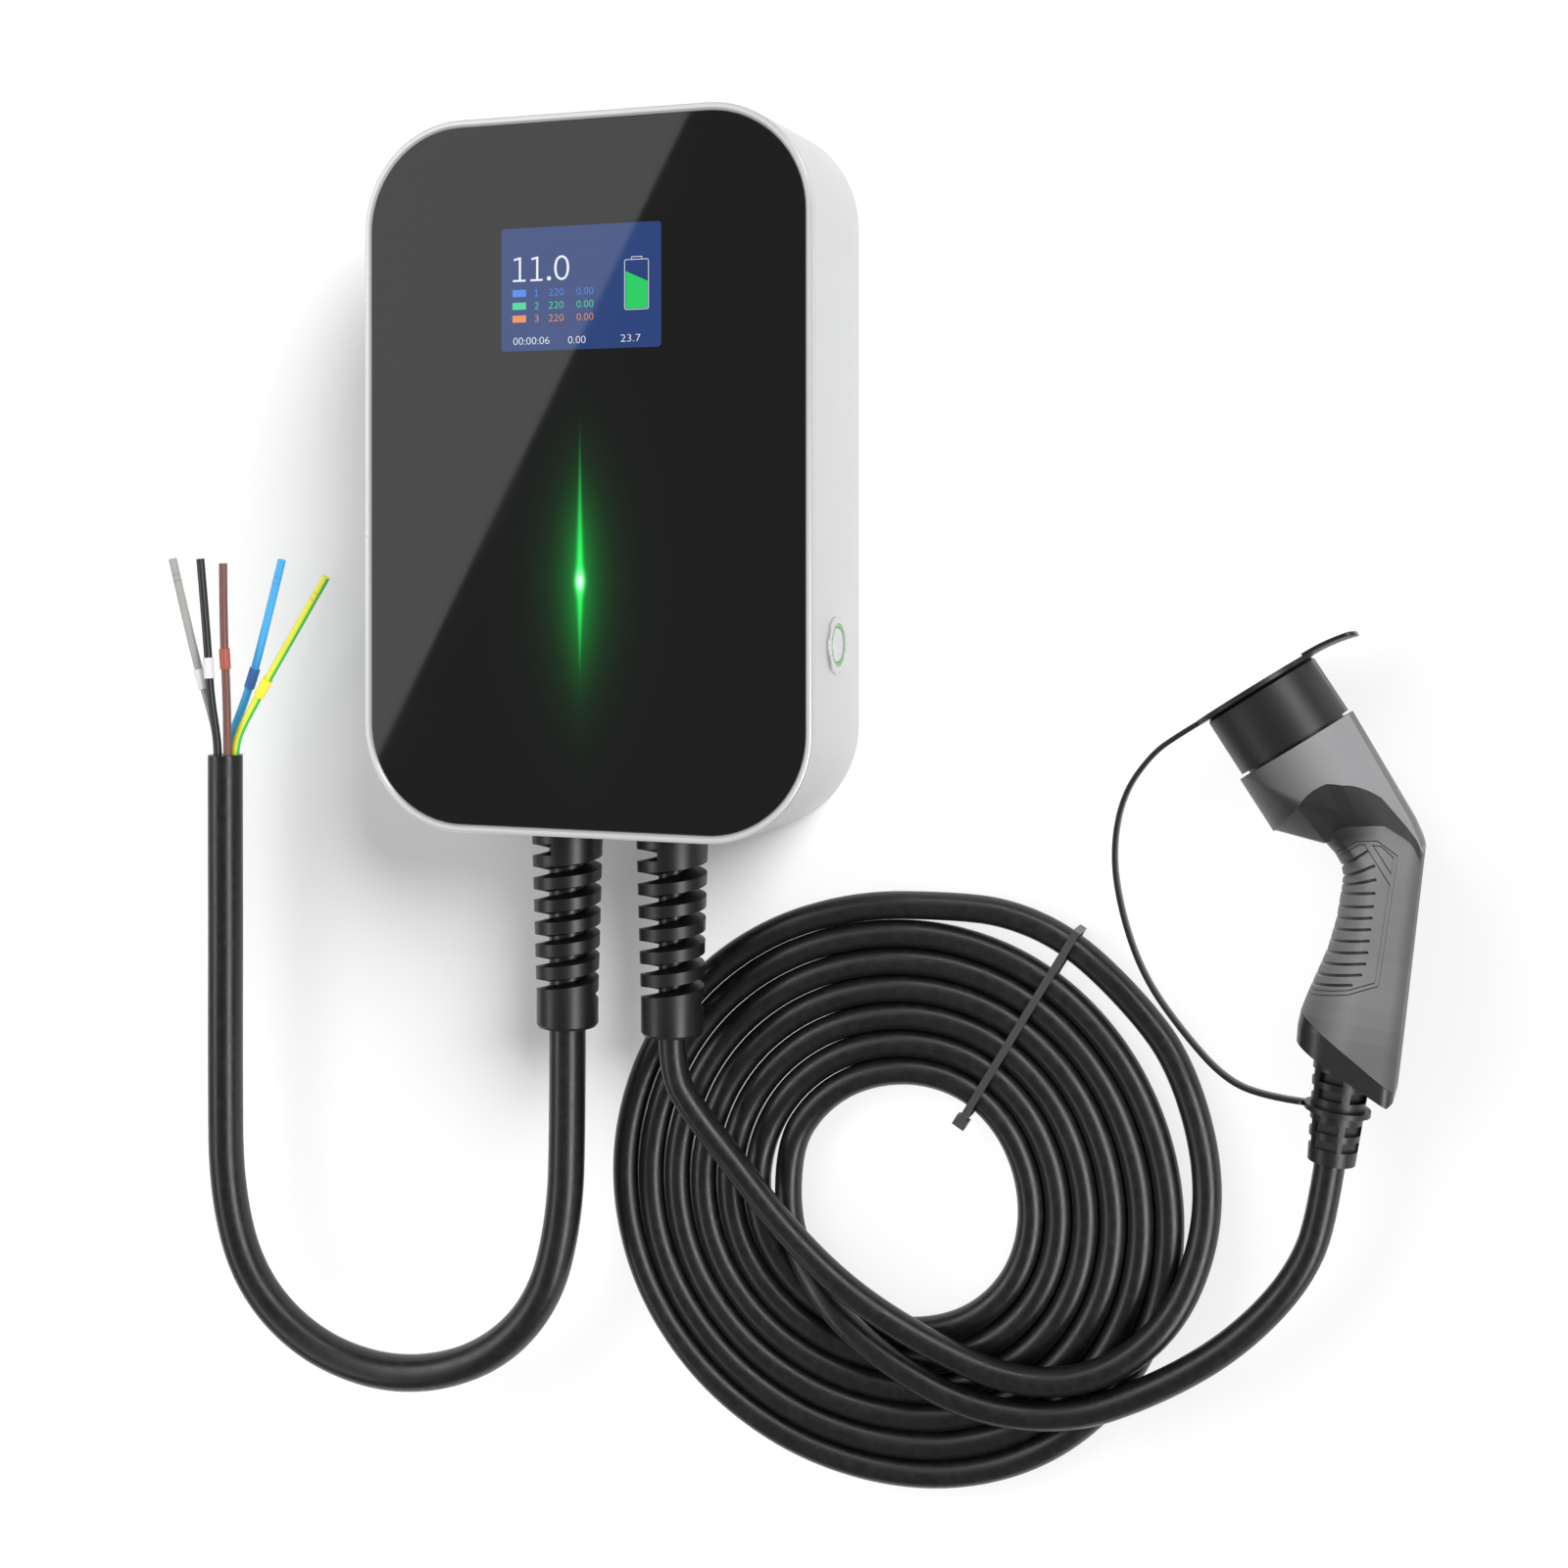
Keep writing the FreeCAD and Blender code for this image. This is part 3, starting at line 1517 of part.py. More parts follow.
def connector_shells():
    form = connector_form()
    seam = seam_half_space(size("collar_seam_angle"), size("collar_seam_rise"))
    spine = form.common(spine_strip(0))
    shell = form.cut(seam).cut(spine_strip(size("part_gap"))).cut(connector_cavity())
    shell = shell.cut(grip_grooves()).cut(grip_line_cuts())
    seat = Part.makeCylinder(size("nose_collar_radius + part_gap"), size("nose_collar") + 1)
    seat_low = Vector(0, 0, -size("nose_length + nose_seam + nose_collar"))
    seat.Placement = nose_place() * Placement(seat_low, Rotation())
    shell = shell.cut(seat)
    middle = -size("connector_plane")
    near_side = Part.makeBox(600, 100, 600, Vector(100, middle - 100, -500))
    far_side = Part.makeBox(600, 100, 600, Vector(100, middle, -500))
    near = solid_feature("connector_near_shell", largest_solid(shell.common(near_side)))
    far = solid_feature("connector_far_shell", largest_solid(shell.common(far_side)))
    strip = solid_feature("connector_spine", spine)
    return near, far, strip


def largest_solid(shape):
    return max(shape.Solids, key=lambda solid: solid.Volume)


def collar_roof(gap):
    # Everything below the roof that closes the collar's hollow underside.
    return seam_half_space(size("collar_seam_angle"), size("collar_seam_rise - part_gap - collar_wall") - gap)


def tail_collar():
    below = seam_half_space(size("collar_seam_angle"), size("collar_seam_rise - part_gap"))
    lip = seam_half_space(size("collar_lip_angle"), size("collar_seam_rise - collar_height"))
    collar = connector_form().common(below).cut(lip)
    hollow = handle_form(size("collar_wall"), -26, 50).common(collar_roof(0))
    passage = Part.makeCylinder(size("output_cable / 2 + bore_play"), 60, Vector(size("boot_side"), 0, -30))
    passage.Placement = handle_place()
    return solid_feature("tail_collar", collar.cut(hollow).cut(passage).cut(collar_tip()))


def collar_tip():
    # The sharp corner that the lip leaves at the handle's back, cut off at a slant.
    back = size("handle_back")
    tip = size("collar_tip")
    slope = math.tan(math.radians(size("collar_lip_angle")))
    lip_height = size("collar_seam_rise - collar_height")
    start = (back - 2 * tip, lip_height - (back - 2 * tip) * slope - tip)
    end = (back + tip, lip_height - back * slope + 3 * tip)
    return prism([start, end, (back + 2 * tip, start[1])], 40, handle_place())


def contact_places():
    pitch = size("tower_pitch")
    low_row = -size("tower_low_row")
    low_spread = size("tower_low_spread")
    high_row = size("tower_high_row")
    high_spread = size("tower_high_spread")
    power = [(0, 0), (0, -pitch), (0, pitch), (low_row, -low_spread), (low_row, low_spread)]
    signal = [(high_row, -high_spread), (high_row, high_spread)]
    return power, signal


def connector_nose():
    # A round shroud with a flat top and an open mouth, on the collar that seats in the head.
    radius = size("nose_radius")
    wall = size("nose_wall")
    length = size("nose_length")
    floor = size("nose_floor")
    trim = Part.makeBox(10, 2 * radius, length, Vector(size("nose_flat"), -radius, -length))
    edge = size("nose_edge")
    shroud = Part.makeCylinder(radius, length - edge, Vector(0, 0, -length))
    shroud = shroud.fuse(Part.makeCone(radius, radius - edge, edge, Vector(0, 0, -edge))).cut(trim)
    room = Part.makeCylinder(radius - wall, length - floor, Vector(0, 0, floor - length))
    nose = shroud.cut(room)
    collar = Part.makeCylinder(size("nose_collar_radius"), size("nose_collar + nose_seam"))
    collar.translate(Vector(0, 0, -length - size("nose_collar + nose_seam")))
    nose = nose.fuse(collar)
    return solid_feature("connector_nose", nose.removeSplitter(), nose_place())


def contact_block():
    # Seven insulated towers, one a contact, on a disc that rests on the nose's floor.
    base = size("block_base")
    low = size("nose_floor - nose_length")
    disc_radius = size("nose_radius - nose_wall - fit_gap")
    block_shape = Part.makeCylinder(disc_radius, base, Vector(0, 0, low))
    top = -size("tower_drop")
    power, signal = contact_places()
    for places, outer, bore in (
        (power, size("power_tower_radius"), size("power_sleeve_radius + sleeve_play")),
        (signal, size("signal_tower_radius"), size("signal_sleeve_radius + sleeve_play")),
    ):
        for x, y in places:
            tower = Part.makeCylinder(outer, top - low, Vector(x, y, low))
            passage = Part.makeCylinder(bore, top - low - base, Vector(x, y, low + base))
            block_shape = block_shape.fuse(tower).cut(passage)
    return solid_feature("contact_block", block_shape.removeSplitter(), nose_place())


def contact_sleeves():
    height = size("nose_length - nose_floor - block_base - tower_drop") - 1
    floor = size("nose_floor + block_base - nose_length")
    power, signal = contact_places()
    sleeves = []
    for places, outer, bore in (
        (power, size("power_sleeve_radius"), size("power_bore_radius")),
        (signal, size("signal_sleeve_radius"), size("signal_bore_radius")),
    ):
        for x, y in places:
            body = Part.makeCylinder(outer, height, Vector(x, y, floor))
            sleeves.append(body.cut(Part.makeCylinder(bore, height, Vector(x, y, floor + 2))))
    return solid_feature("contact_sleeves", Part.makeCompound(sleeves), nose_place())


# Boot, ring, strap and dust cap

def boot_radius(z):
    share = (size("boot_top") - z) / (size("boot_top") - size("boot_end"))
    return size("boot_top_radius") + share * (size("boot_end_radius") - size("boot_top_radius"))


def connector_boot():
    # A tapered sleeve with rows of windows round it, one above the other.
    top = size("boot_top")
    end = size("boot_end")
    side = Vector(size("boot_side"), 0, 0)
    bore = size("output_cable / 2 + bore_play")
    reach = size("boot_head")
    sleeve = Part.makeCone(boot_radius(end), boot_radius(top), top - end, Vector(0, 0, end))
    sleeve = sleeve.fuse(Part.makeCylinder(boot_radius(top), reach, Vector(0, 0, top)))
    sleeve = sleeve.cut(Part.makeCylinder(bore, top - end + reach, Vector(0, 0, end)))
    core = bore + size("boot_sleeve_wall")
    windows = []
    count = int(size("boot_windows"))
    tall = size("boot_window_height")
    wide = size("boot_window_width")
    for z in window_rows():
        for index in range(count):
            turn = size("boot_window_turn") + 360 * index / count
            window = Part.makeBox(20, wide, tall, Vector(core, -wide / 2, z - tall / 2))
            window.rotate(Vector(), Vector(0, 0, 1), turn)
            windows.append(window)
    sleeve = sleeve.cut(windows[0].multiFuse(windows[1:]))
    sleeve.Placement = handle_place() * Placement(side, Rotation())
    return solid_feature("connector_boot", sleeve.common(collar_roof(size("part_gap"))))


def window_rows():
    # Two rows above the ring and two below it.
    return [size("ring_rise") + step * size("boot_window_pitch") for step in (2, 1, -1, -2)]


def strap_ring():
    z = size("ring_rise")
    tall = size("ring_height")
    inner_low = boot_radius(z - tall / 2) + size("ring_play")
    inner_high = boot_radius(z + tall / 2) + size("ring_play")
    outer = inner_high + size("ring_width")
    ring = Part.makeCylinder(outer, tall, Vector(0, 0, z - tall / 2))
    ring = ring.cut(Part.makeCone(inner_low, inner_high, tall, Vector(0, 0, z - tall / 2)))
    ring.translate(Vector(size("boot_side"), 0, 0))
    return solid_feature("strap_ring", ring, handle_place())


def strap_ends():
    ring_edge = boot_radius(size("ring_rise")) + size("ring_play + ring_width") - 0.1
    at_ring = handle_place().multVec(Vector(size("boot_side") - ring_edge, 0, size("ring_rise")))
    half = size("strap_thickness / 2")
    at_cap = nose_place().multVec(Vector(size("cap_shift - cap_radius - part_gap"), 0, half))
    return at_ring, at_cap


def cap_strap():
    at_ring, at_cap = strap_ends()
    plane = -size("connector_plane")
    route = [
        (323, -286),
        (305, -279.5),
        (286, -259.5),
        (268.5, -236),
        (258, -208),
        (253.3, -179),
        (258, -151),
        (272, -131),
        (285, -121.8),
    ]
    points = [at_ring] + [Vector(x, plane, z) for x, z in route] + [at_cap]
    path = cord_path("cap_strap", points)
    wide = size("strap_width")
    half = size("strap_thickness / 2")
    along = points[1] - points[0]
    along.normalize()
    side = Vector(0, 1, 0)
    thick = along.cross(side)
    across = side * (wide / 2)
    upward = thick * half
    corners = [at_ring + across + upward, at_ring - across + upward]
    corners += [at_ring - across - upward, at_ring + across - upward, corners[0]]
    strap = path.makePipeShell([Part.makePolygon(corners)], True, False)
    expected = wide * 2 * half * path.Length
    if abs(strap.Volume - expected) > 0.01 * expected:
        raise ValueError("cap_strap has the wrong volume")
    return solid_feature("cap_strap", strap)


def dust_cap():
    radius = size("cap_radius")
    thick = size("cap_thickness")
    skirt = size("nose_radius - nose_wall - cap_play")
    depth = size("cap_skirt_depth")
    disc = Part.makeCylinder(radius, thick, Vector(size("cap_shift"), 0, 0.05))
    plug = Part.makeCylinder(skirt, depth + 0.1, Vector(0, 0, -depth))
    plug = plug.cut(Part.makeCylinder(skirt - size("cap_skirt_wall"), depth, Vector(0, 0, -depth)))
    tab = cap_tab(radius + size("cap_shift"))
    cap = disc.fuse(tab).fuse(plug).removeSplitter()
    return solid_feature("dust_cap", cap, nose_place())


def cap_tab(start):
    # A pull tab that arches out from the disc's edge, cupped across its width like a shallow trough.
    reach = size("tab_length")
    half = size("tab_width / 2")
    thick = size("tab_thickness")
    sag = size("tab_sag")
    root = start - 3.4
    tip = start + reach
    path = Part.Arc(Vector(root, 0, 0.1), Vector(start + reach / 2, 0, -0.9), Vector(tip, 0, -3.4)).toShape()
    low = Part.Arc(Vector(root, -half, 0.1 + sag), Vector(root, 0, 0.1), Vector(root, half, 0.1 + sag))
    high = low.copy()
    high.translate(Vector(0, 0, thick))
    sides = [Part.makeLine(low.EndPoint, high.EndPoint), Part.makeLine(high.StartPoint, low.StartPoint)]
    section = Part.Wire([low.toShape(), sides[0], high.toShape(), sides[1]])
    tongue = Part.Wire(path).makePipeShell([section], True, False)
    plan = Part.makeBox(tip - root + 4, 2 * half, 40, Vector(root - 4.4, -half, -20))
    ends = [edge for edge in plan.Edges if lies_at(edge, "X", tip - 0.4)]
    upright = [edge for edge in ends if edge.Length > 39]
    return tongue.common(plan.makeFillet(size("tab_corner"), upright))


# Building and writing

def build_all():
    nodes = [
        rear_shell(),
        front_bezel(),
        front_panel(),
        panel_gasket(),
        housing_seal(),
        wall_plate(),
        housing_screws(),
        display_module(),
        light_guide(),
        led_board(),
        control_board(),
        board_standoffs(),
        board_screws(),
        contactor(),
        power_supply(),
        terminal_block("input_terminal_block", "input_side"),
        terminal_block("output_terminal_block", "output_side"),
        leakage_sensor(),
        held_cable("input_cable_end", "input_side", "input_cable"),
        held_cable("output_cable_end", "output_side", "output_cable"),
        strain_relief("input_strain_relief", "input_side", "input_cable"),
        strain_relief("output_strain_relief", "output_side", "output_cable"),
        gland_seal("input_gland_seal", "input_side"),
        gland_seal("output_gland_seal", "output_side"),
        gland_nut("input_gland_nut", "input_side"),
        gland_nut("output_gland_nut", "output_side"),
        button_bezel(),
        button_light_ring(),
        button_cap(),
        button_nut(),
        button_switch(),
        button_spring(),
        input_cable(),
    ]
    nodes += [conductor(name) for name in conductor_routes]
    nodes += [marker(name) for name in marker_places]
    nodes += [output_lead(), output_coil(), output_tail(), cable_tie()]
    nodes += list(connector_shells())
    nodes += [
        tail_collar(),
        connector_nose(),
        contact_block(),
        contact_sleeves(),
        connector_boot(),
        strap_ring(),
        cap_strap(),
        dust_cap(),
    ]
    return nodes


def check_all(nodes):
    doc.recompute()
    for item in doc.Objects:
        if "Invalid" in item.State or "Error" in item.State:
            raise ValueError(f"{item.Name} failed: {item.State}")
    for node in nodes:
        if node.Shape.isNull() or not node.Shape.isValid():
            raise ValueError(node.Label + " has no valid shape")


def write_all(nodes):
    os.makedirs("parts", exist_ok=True)
    for node in nodes:
        node.Shape.exportStep(os.path.join("parts", node.Label + ".step"))
    print(len(nodes), "pieces written")


nodes = build_all()
check_all(nodes)
write_all(nodes)
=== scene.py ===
import math

import bmesh
import bpy
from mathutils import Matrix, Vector


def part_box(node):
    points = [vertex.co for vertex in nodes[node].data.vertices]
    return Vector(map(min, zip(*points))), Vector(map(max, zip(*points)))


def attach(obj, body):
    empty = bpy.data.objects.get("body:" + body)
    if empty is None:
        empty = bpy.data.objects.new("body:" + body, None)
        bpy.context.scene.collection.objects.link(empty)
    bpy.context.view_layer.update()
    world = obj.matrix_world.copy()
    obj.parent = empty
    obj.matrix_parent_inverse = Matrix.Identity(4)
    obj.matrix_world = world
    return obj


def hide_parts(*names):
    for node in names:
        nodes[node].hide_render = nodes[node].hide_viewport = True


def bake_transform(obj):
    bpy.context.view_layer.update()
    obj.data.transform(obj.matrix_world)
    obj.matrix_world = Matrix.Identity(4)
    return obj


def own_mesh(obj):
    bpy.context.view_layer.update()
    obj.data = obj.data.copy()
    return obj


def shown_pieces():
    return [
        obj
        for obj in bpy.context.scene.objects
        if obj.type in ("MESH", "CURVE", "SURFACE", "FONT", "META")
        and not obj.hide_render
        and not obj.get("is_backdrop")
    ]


# Routes of cords are in millimetres, and all else is in metres.

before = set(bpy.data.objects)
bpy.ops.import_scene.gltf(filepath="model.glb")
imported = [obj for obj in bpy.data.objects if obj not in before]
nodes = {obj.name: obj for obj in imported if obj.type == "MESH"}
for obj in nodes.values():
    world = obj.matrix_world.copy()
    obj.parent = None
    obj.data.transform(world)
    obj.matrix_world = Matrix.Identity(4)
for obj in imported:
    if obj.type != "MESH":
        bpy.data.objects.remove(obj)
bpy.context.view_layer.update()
scene = bpy.context.scene


# Shader values

class Value:
    # A shader output, with arithmetic that adds the nodes it needs.

    def __init__(self, tree, out):
        self.tree = tree
        self.out = out

    def node(self, kind, inputs, output=0, **settings):
        made = self.tree.nodes.new(kind)
        for name, setting in settings.items():
            setattr(made, name, setting)
        for key, given in inputs.items():
            feed(self.tree, made.inputs[key], given)
        return Value(self.tree, made.outputs[output])

    def math(self, operation, *others):
        return self.node("ShaderNodeMath", dict(enumerate((self,) + others)), operation=operation)

    def __add__(self, other):
        return self.math("ADD", other)

    def __sub__(self, other):
        return self.math("SUBTRACT", other)

    def __mul__(self, other):
        return self.math("MULTIPLY", other)

    def __truediv__(self, other):
        return self.math("DIVIDE", other)

    def __pow__(self, other):
        return self.math("POWER", other)

    def __neg__(self):
        return self * -1

    def __rsub__(self, other):
        return -self + other

    def __rtruediv__(self, other):
        return self**-1 * other

    __radd__ = __add__
    __rmul__ = __mul__


def feed(tree, socket, given):
    if isinstance(given, Value):
        tree.links.new(given.out, socket)
    else:
        socket.default_value = given


class Material:
    def __init__(self, name, **constants):
        self.made = bpy.data.materials.new(name)
        self.made.use_nodes = True
        self.tree = self.made.node_tree
        self.shader = self.tree.nodes["Principled BSDF"]
        self.coords = Value(self.tree, self.tree.nodes.new("ShaderNodeTexCoord").outputs["Object"])
        self.set(**constants)

    def set(self, **inputs):
        for name, given in inputs.items():
            feed(self.tree, self.shader.inputs[name.replace("_", " ")], given)

    def output(self, name):
        return Value(self.tree, self.coords.out.node.outputs[name])

    def axes(self, given=None):
        split = self.coords.node("ShaderNodeSeparateXYZ", {0: given or self.coords})
        made = split.out.node
        return [Value(self.tree, made.outputs[index]) for index in range(3)]

    def noise(self, scale, detail=3, roughness=0.5):
        inputs = {"Vector": self.coords, "Scale": scale, "Detail": detail, "Roughness": roughness}
        return self.coords.node("ShaderNodeTexNoise", inputs)

    def remap(self, given, low, high, toLow, toHigh):
        inputs = {"Value": given, 1: low, 2: high, 3: toLow, 4: toHigh}
        return self.coords.node("ShaderNodeMapRange", inputs)

    def blend(self, factor, first, second):
        inputs = {0: factor, 6: first, 7: second}
        return self.coords.node("ShaderNodeMix", inputs, output=2, data_type="RGBA")

    def bump(self, height, strength, distance):
        inputs = {"Height": height, "Strength": strength, "Distance": distance}
        self.set(Normal=self.coords.node("ShaderNodeBump", inputs))

    def grain(self, scale, strength, distance=0.0001):
        self.bump(self.noise(scale, 2), strength, distance)


def grey(level):
    return (level, level, level, 1)


# Materials

def plasticBody(name, color, rough):
    made = Material(name, Specular_IOR_Level=0.5)
    patches = made.noise(34, 3)
    shade = tuple(channel * 1.14 for channel in color[:3]) + (1,)
    made.set(Base_Color=made.blend(patches, color, shade))
    made.set(Roughness=made.remap(patches, 0.3, 0.7, rough - 0.04, rough + 0.05))
    return made


def mouldedPlastic(name, color, rough, grainScale=2600, grainStrength=0.12):
    made = plasticBody(name, color, rough)
    made.grain(grainScale, grainStrength)
    return made.made


# The bump that rounds the grip's broad side: it starts a little way in from the bend of the handle's back.
handleCrown = {
    "bend": (0.3915, -0.1645),
    "gripLean": 8.7,
    "neckRise": 20,
    "flat": 0.013,
    "rounding": 0.012,
    "slope": 1.2,
    "grainScale": 1000,
    "grain": 0.00003,
}


def handlePlastic(name, color, rough):
    # Below the neck, the side falls away from the back edge towards the fingers.
    made = plasticBody(name, color, rough)
    x, _, z = made.axes()
    left = handleCrown["bend"][0] - x
    down = handleCrown["bend"][1] - z
    lean = math.radians(handleCrown["gripLean"])
    rise = math.radians(handleCrown["neckRise"])
    fromBack = left * math.cos(lean) - down * math.sin(lean) - handleCrown["flat"]
    belowNeck = down * math.cos(rise) + left * math.sin(rise)
    rounding = handleCrown["rounding"]
    past = fromBack.math("SMOOTH_MIN", belowNeck, rounding).math("MAXIMUM", 0)
    fall = (past * past + rounding * rounding).math("SQRT") * handleCrown["slope"]
    made.bump(made.noise(handleCrown["grainScale"], 2) * handleCrown["grain"] - fall, 1, 1)
    return made.made


def sheath(name, color, rough):
    # Extruded cable jacket: a soft sheen with faint scuffs.
    made = Material(name, Specular_IOR_Level=0.5)
    scuffs = made.noise(220, 5, 0.62)
    lifted = tuple(channel * 1.4 + 0.001 for channel in color[:3]) + (1,)
    made.set(Base_Color=made.blend(made.remap(scuffs, 0.45, 0.75, 0, 1), color, lifted))
    made.set(Roughness=made.remap(scuffs, 0.35, 0.7, rough - 0.05, rough + 0.08))
    made.grain(1500, 0.1)
    return made.made


def satinPaint(name, color, rough, metallic=0.0):
    made = Material(name, Metallic=metallic, Specular_IOR_Level=0.5, Coat_Weight=0.1, Coat_Roughness=0.3)
    patches = made.noise(28, 3)
    shade = tuple(channel * 0.985 for channel in color[:3]) + (1,)
    made.set(Base_Color=made.blend(patches, color, shade))
    made.set(Roughness=made.remap(patches, 0.3, 0.7, rough - 0.03, rough + 0.04))
    made.grain(700, 0.012)
    return made.made


def brushedMetal(name, color, rough):
    made = Material(name, Metallic=1.0)
    streaks = made.noise(700, 4, 0.7)
    made.set(Base_Color=color)
    made.set(Roughness=made.remap(streaks, 0.3, 0.7, rough - 0.06, rough + 0.08))
    made.grain(1400, 0.06)
    return made.made


# Places along the wire are shares of its length, and the stripe's turn is a share of the way round it.
wireMarks = {
    "cuts": (0.958, 0.97),
    "cutWidth": 0.002,
    "stripeTurn": 0.33,
    "stripeFrom": (0.62, 0.63),
}


def wireSkin(name, color, stripe=None):
    # Smooth insulation with two faint cut marks near the tip; the earth wire has a second colour on one side.
    made = Material(name, Specular_IOR_Level=0.5)
    along, around, _ = made.axes(made.output("UV"))
    patches = made.noise(60, 2)
    shade = tuple(channel * 0.9 for channel in color[:3]) + (1,)
    skin = made.blend(patches, color, shade)
    if stripe:
        wrapped = (around + wireMarks["stripeTurn"]).math("FRACT")
        skin = made.blend(made.remap(wrapped, *wireMarks["stripeFrom"], 0, 1), skin, stripe)
    cuts = 0.0
    for place in wireMarks["cuts"]:
        offset = (along - place) / wireMarks["cutWidth"]
        cuts = (-(offset * offset)).math("EXPONENT") + cuts
    darker = tuple(channel * 0.55 for channel in color[:3]) + (1,)
    made.set(Base_Color=made.blend(cuts * 0.5, skin, darker))
    made.set(Roughness=made.remap(patches, 0.3, 0.7, 0.32, 0.42))
    made.grain(1500, 0.05)
    return made.made


# The spindle has its widest and thinnest half width and its strength. Each glow round it has a half width, a
# half height, how sharply it falls off sideways, and its strength.
panelLights = {
    "middle": (0.0, -0.052),
    "top": 0.0288,
    "foot": -0.1016,
    "spindle": (0.0017, 0.0002, 1.1),
    "heart": (0.0022, 0.0045, 2, 1.5),
    "halo": (0.0062, 0.034, 1.3, 0.24),
    "wide": (0.017, 0.052, 1.5, 0.05),
    "green": (0.02, 0.95, 0.13, 1),
    "whitish": (0.55, 1.0, 0.6, 1),
}


def glossPanelMaterial():
    # Black glass with the charging light shining through: a thin spindle, a bright heart and soft halos.
    made = Material("glossPanel", Base_Color=grey(0.009), Specular_IOR_Level=0.55, IOR=1.5)
    smears = made.noise(9, 4, 0.6)
    made.set(Roughness=made.remap(smears, 0.35, 0.75, 0.02, 0.05))
    x, _, z = made.axes()
    centreX, centreZ = panelLights["middle"]
    rising = made.remap(z, panelLights["foot"], centreZ, 0, 1)
    taper = (rising * made.remap(z, centreZ, panelLights["top"], 1, 0)) ** 1.4
    across = (x - centreX).math("ABSOLUTE")
    widest, thinnest, strength = panelLights["spindle"]
    spindle = (-((across / (taper * widest + thinnest)) ** 2)).math("EXPONENT") * (taper * strength)

    def glowSpot(spot):
        width, height, sharpness, strength = panelLights[spot]
        return (-((across / width) ** sharpness) - ((z - centreZ) / height) ** 2).math("EXPONENT") * strength

    heart = glowSpot("heart")
    glow = spindle + heart + glowSpot("halo") + glowSpot("wide")
    whiteness = (heart * 0.4).math("MINIMUM", 1.0)
    whitened = made.blend(whiteness, panelLights["green"], panelLights["whitish"])
    light = whitened.node(
        "ShaderNodeMix", {0: 1.0, 6: whitened, 7: glow}, output=2, data_type="RGBA", blend_type="MULTIPLY"
    )
    made.set(Emission_Color=light, Emission_Strength=1.0)
    return made.made


def lightInk(name, color):
    # Lit marks under the panel's glass.
    made = Material(name, Base_Color=grey(0.006), Specular_IOR_Level=0.55, Emission_Strength=1.0)
    smears = made.noise(9, 4, 0.6)
    made.set(Roughness=made.remap(smears, 0.35, 0.75, 0.02, 0.05))
    shade = tuple(channel * 0.93 for channel in color[:3]) + (1,)
    made.set(Emission_Color=made.blend(smears, color, shade))
    return made.made


materials = {
    "whiteShell": satinPaint("whiteShell", (0.80, 0.805, 0.81, 1), 0.4),
    "silverRim": satinPaint("silverRim", (0.78, 0.785, 0.795, 1), 0.3, 0.25),
    "glossPanel": glossPanelMaterial(),
    "blackPlastic": mouldedPlastic("blackPlastic", grey(0.012), 0.36),
    "darkRubber": mouldedPlastic("darkRubber", grey(0.014), 0.5, 1800, 0.2),
    "cable": sheath("cable", grey(0.005), 0.34),
    "shell": handlePlastic("shell", (0.06, 0.0605, 0.062, 1), 0.48),
    "nose": mouldedPlastic("nose", grey(0.006), 0.42, 1500, 0.08),
    "collar": mouldedPlastic("collar", grey(0.014), 0.34, 1500, 0.12),
    "tie": mouldedPlastic("tie", grey(0.045), 0.34, 900, 0.04),
    "boot": mouldedPlastic("boot", grey(0.007), 0.36, 1200, 0.06),
    "relief": mouldedPlastic("relief", grey(0.004), 0.38, 1200, 0.05),
    "steel": brushedMetal("steel", (0.62, 0.63, 0.64, 1), 0.28),
    "brass": brushedMetal("brass", (0.78, 0.58, 0.28, 1), 0.3),
    "board": mouldedPlastic("board", (0.02, 0.16, 0.05, 1), 0.4),
    "greyPlastic": mouldedPlastic("greyPlastic", grey(0.35), 0.5),
    "greyWire": wireSkin("greyWire", (0.36, 0.355, 0.34, 1)),
    "blackWire": wireSkin("blackWire", grey(0.017)),
    "brownWire": wireSkin("brownWire", (0.17, 0.068, 0.055, 1)),
    "blueWire": wireSkin("blueWire", (0.055, 0.42, 0.86, 1)),
    "earthWire": wireSkin("earthWire", (0.8, 0.78, 0.05, 1), (0.04, 0.55, 0.08, 1)),
    "whiteMarker": mouldedPlastic("whiteMarker", grey(0.66), 0.45, 900, 0.05),
    "brownMarker": mouldedPlastic("brownMarker", (0.34, 0.08, 0.05, 1), 0.45, 900, 0.05),
    "blueMarker": mouldedPlastic("blueMarker", (0.045, 0.15, 0.48, 1), 0.45, 900, 0.05),
    "yellowMarker": mouldedPlastic("yellowMarker", (0.85, 0.75, 0.04, 1), 0.45, 900, 0.05),
    "screenBlue": lightInk("screenBlue", (0.014, 0.046, 0.19, 1)),
    "white": lightInk("white", (0.84, 0.87, 0.92, 1)),
    "blue": lightInk("blue", (0.05, 0.24, 0.76, 1)),
    "green": lightInk("green", (0.04, 0.66, 0.3, 1)),
    "orange": lightInk("orange", (0.78, 0.27, 0.08, 1)),
    "batteryGreen": lightInk("batteryGreen", (0.015, 0.62, 0.12, 1)),
    "ringGlow": lightInk("ringGlow", (0.16, 0.36, 0.1, 1)),
    "strap": mouldedPlastic("strap", grey(0.012), 0.27, 900, 0.04),
}

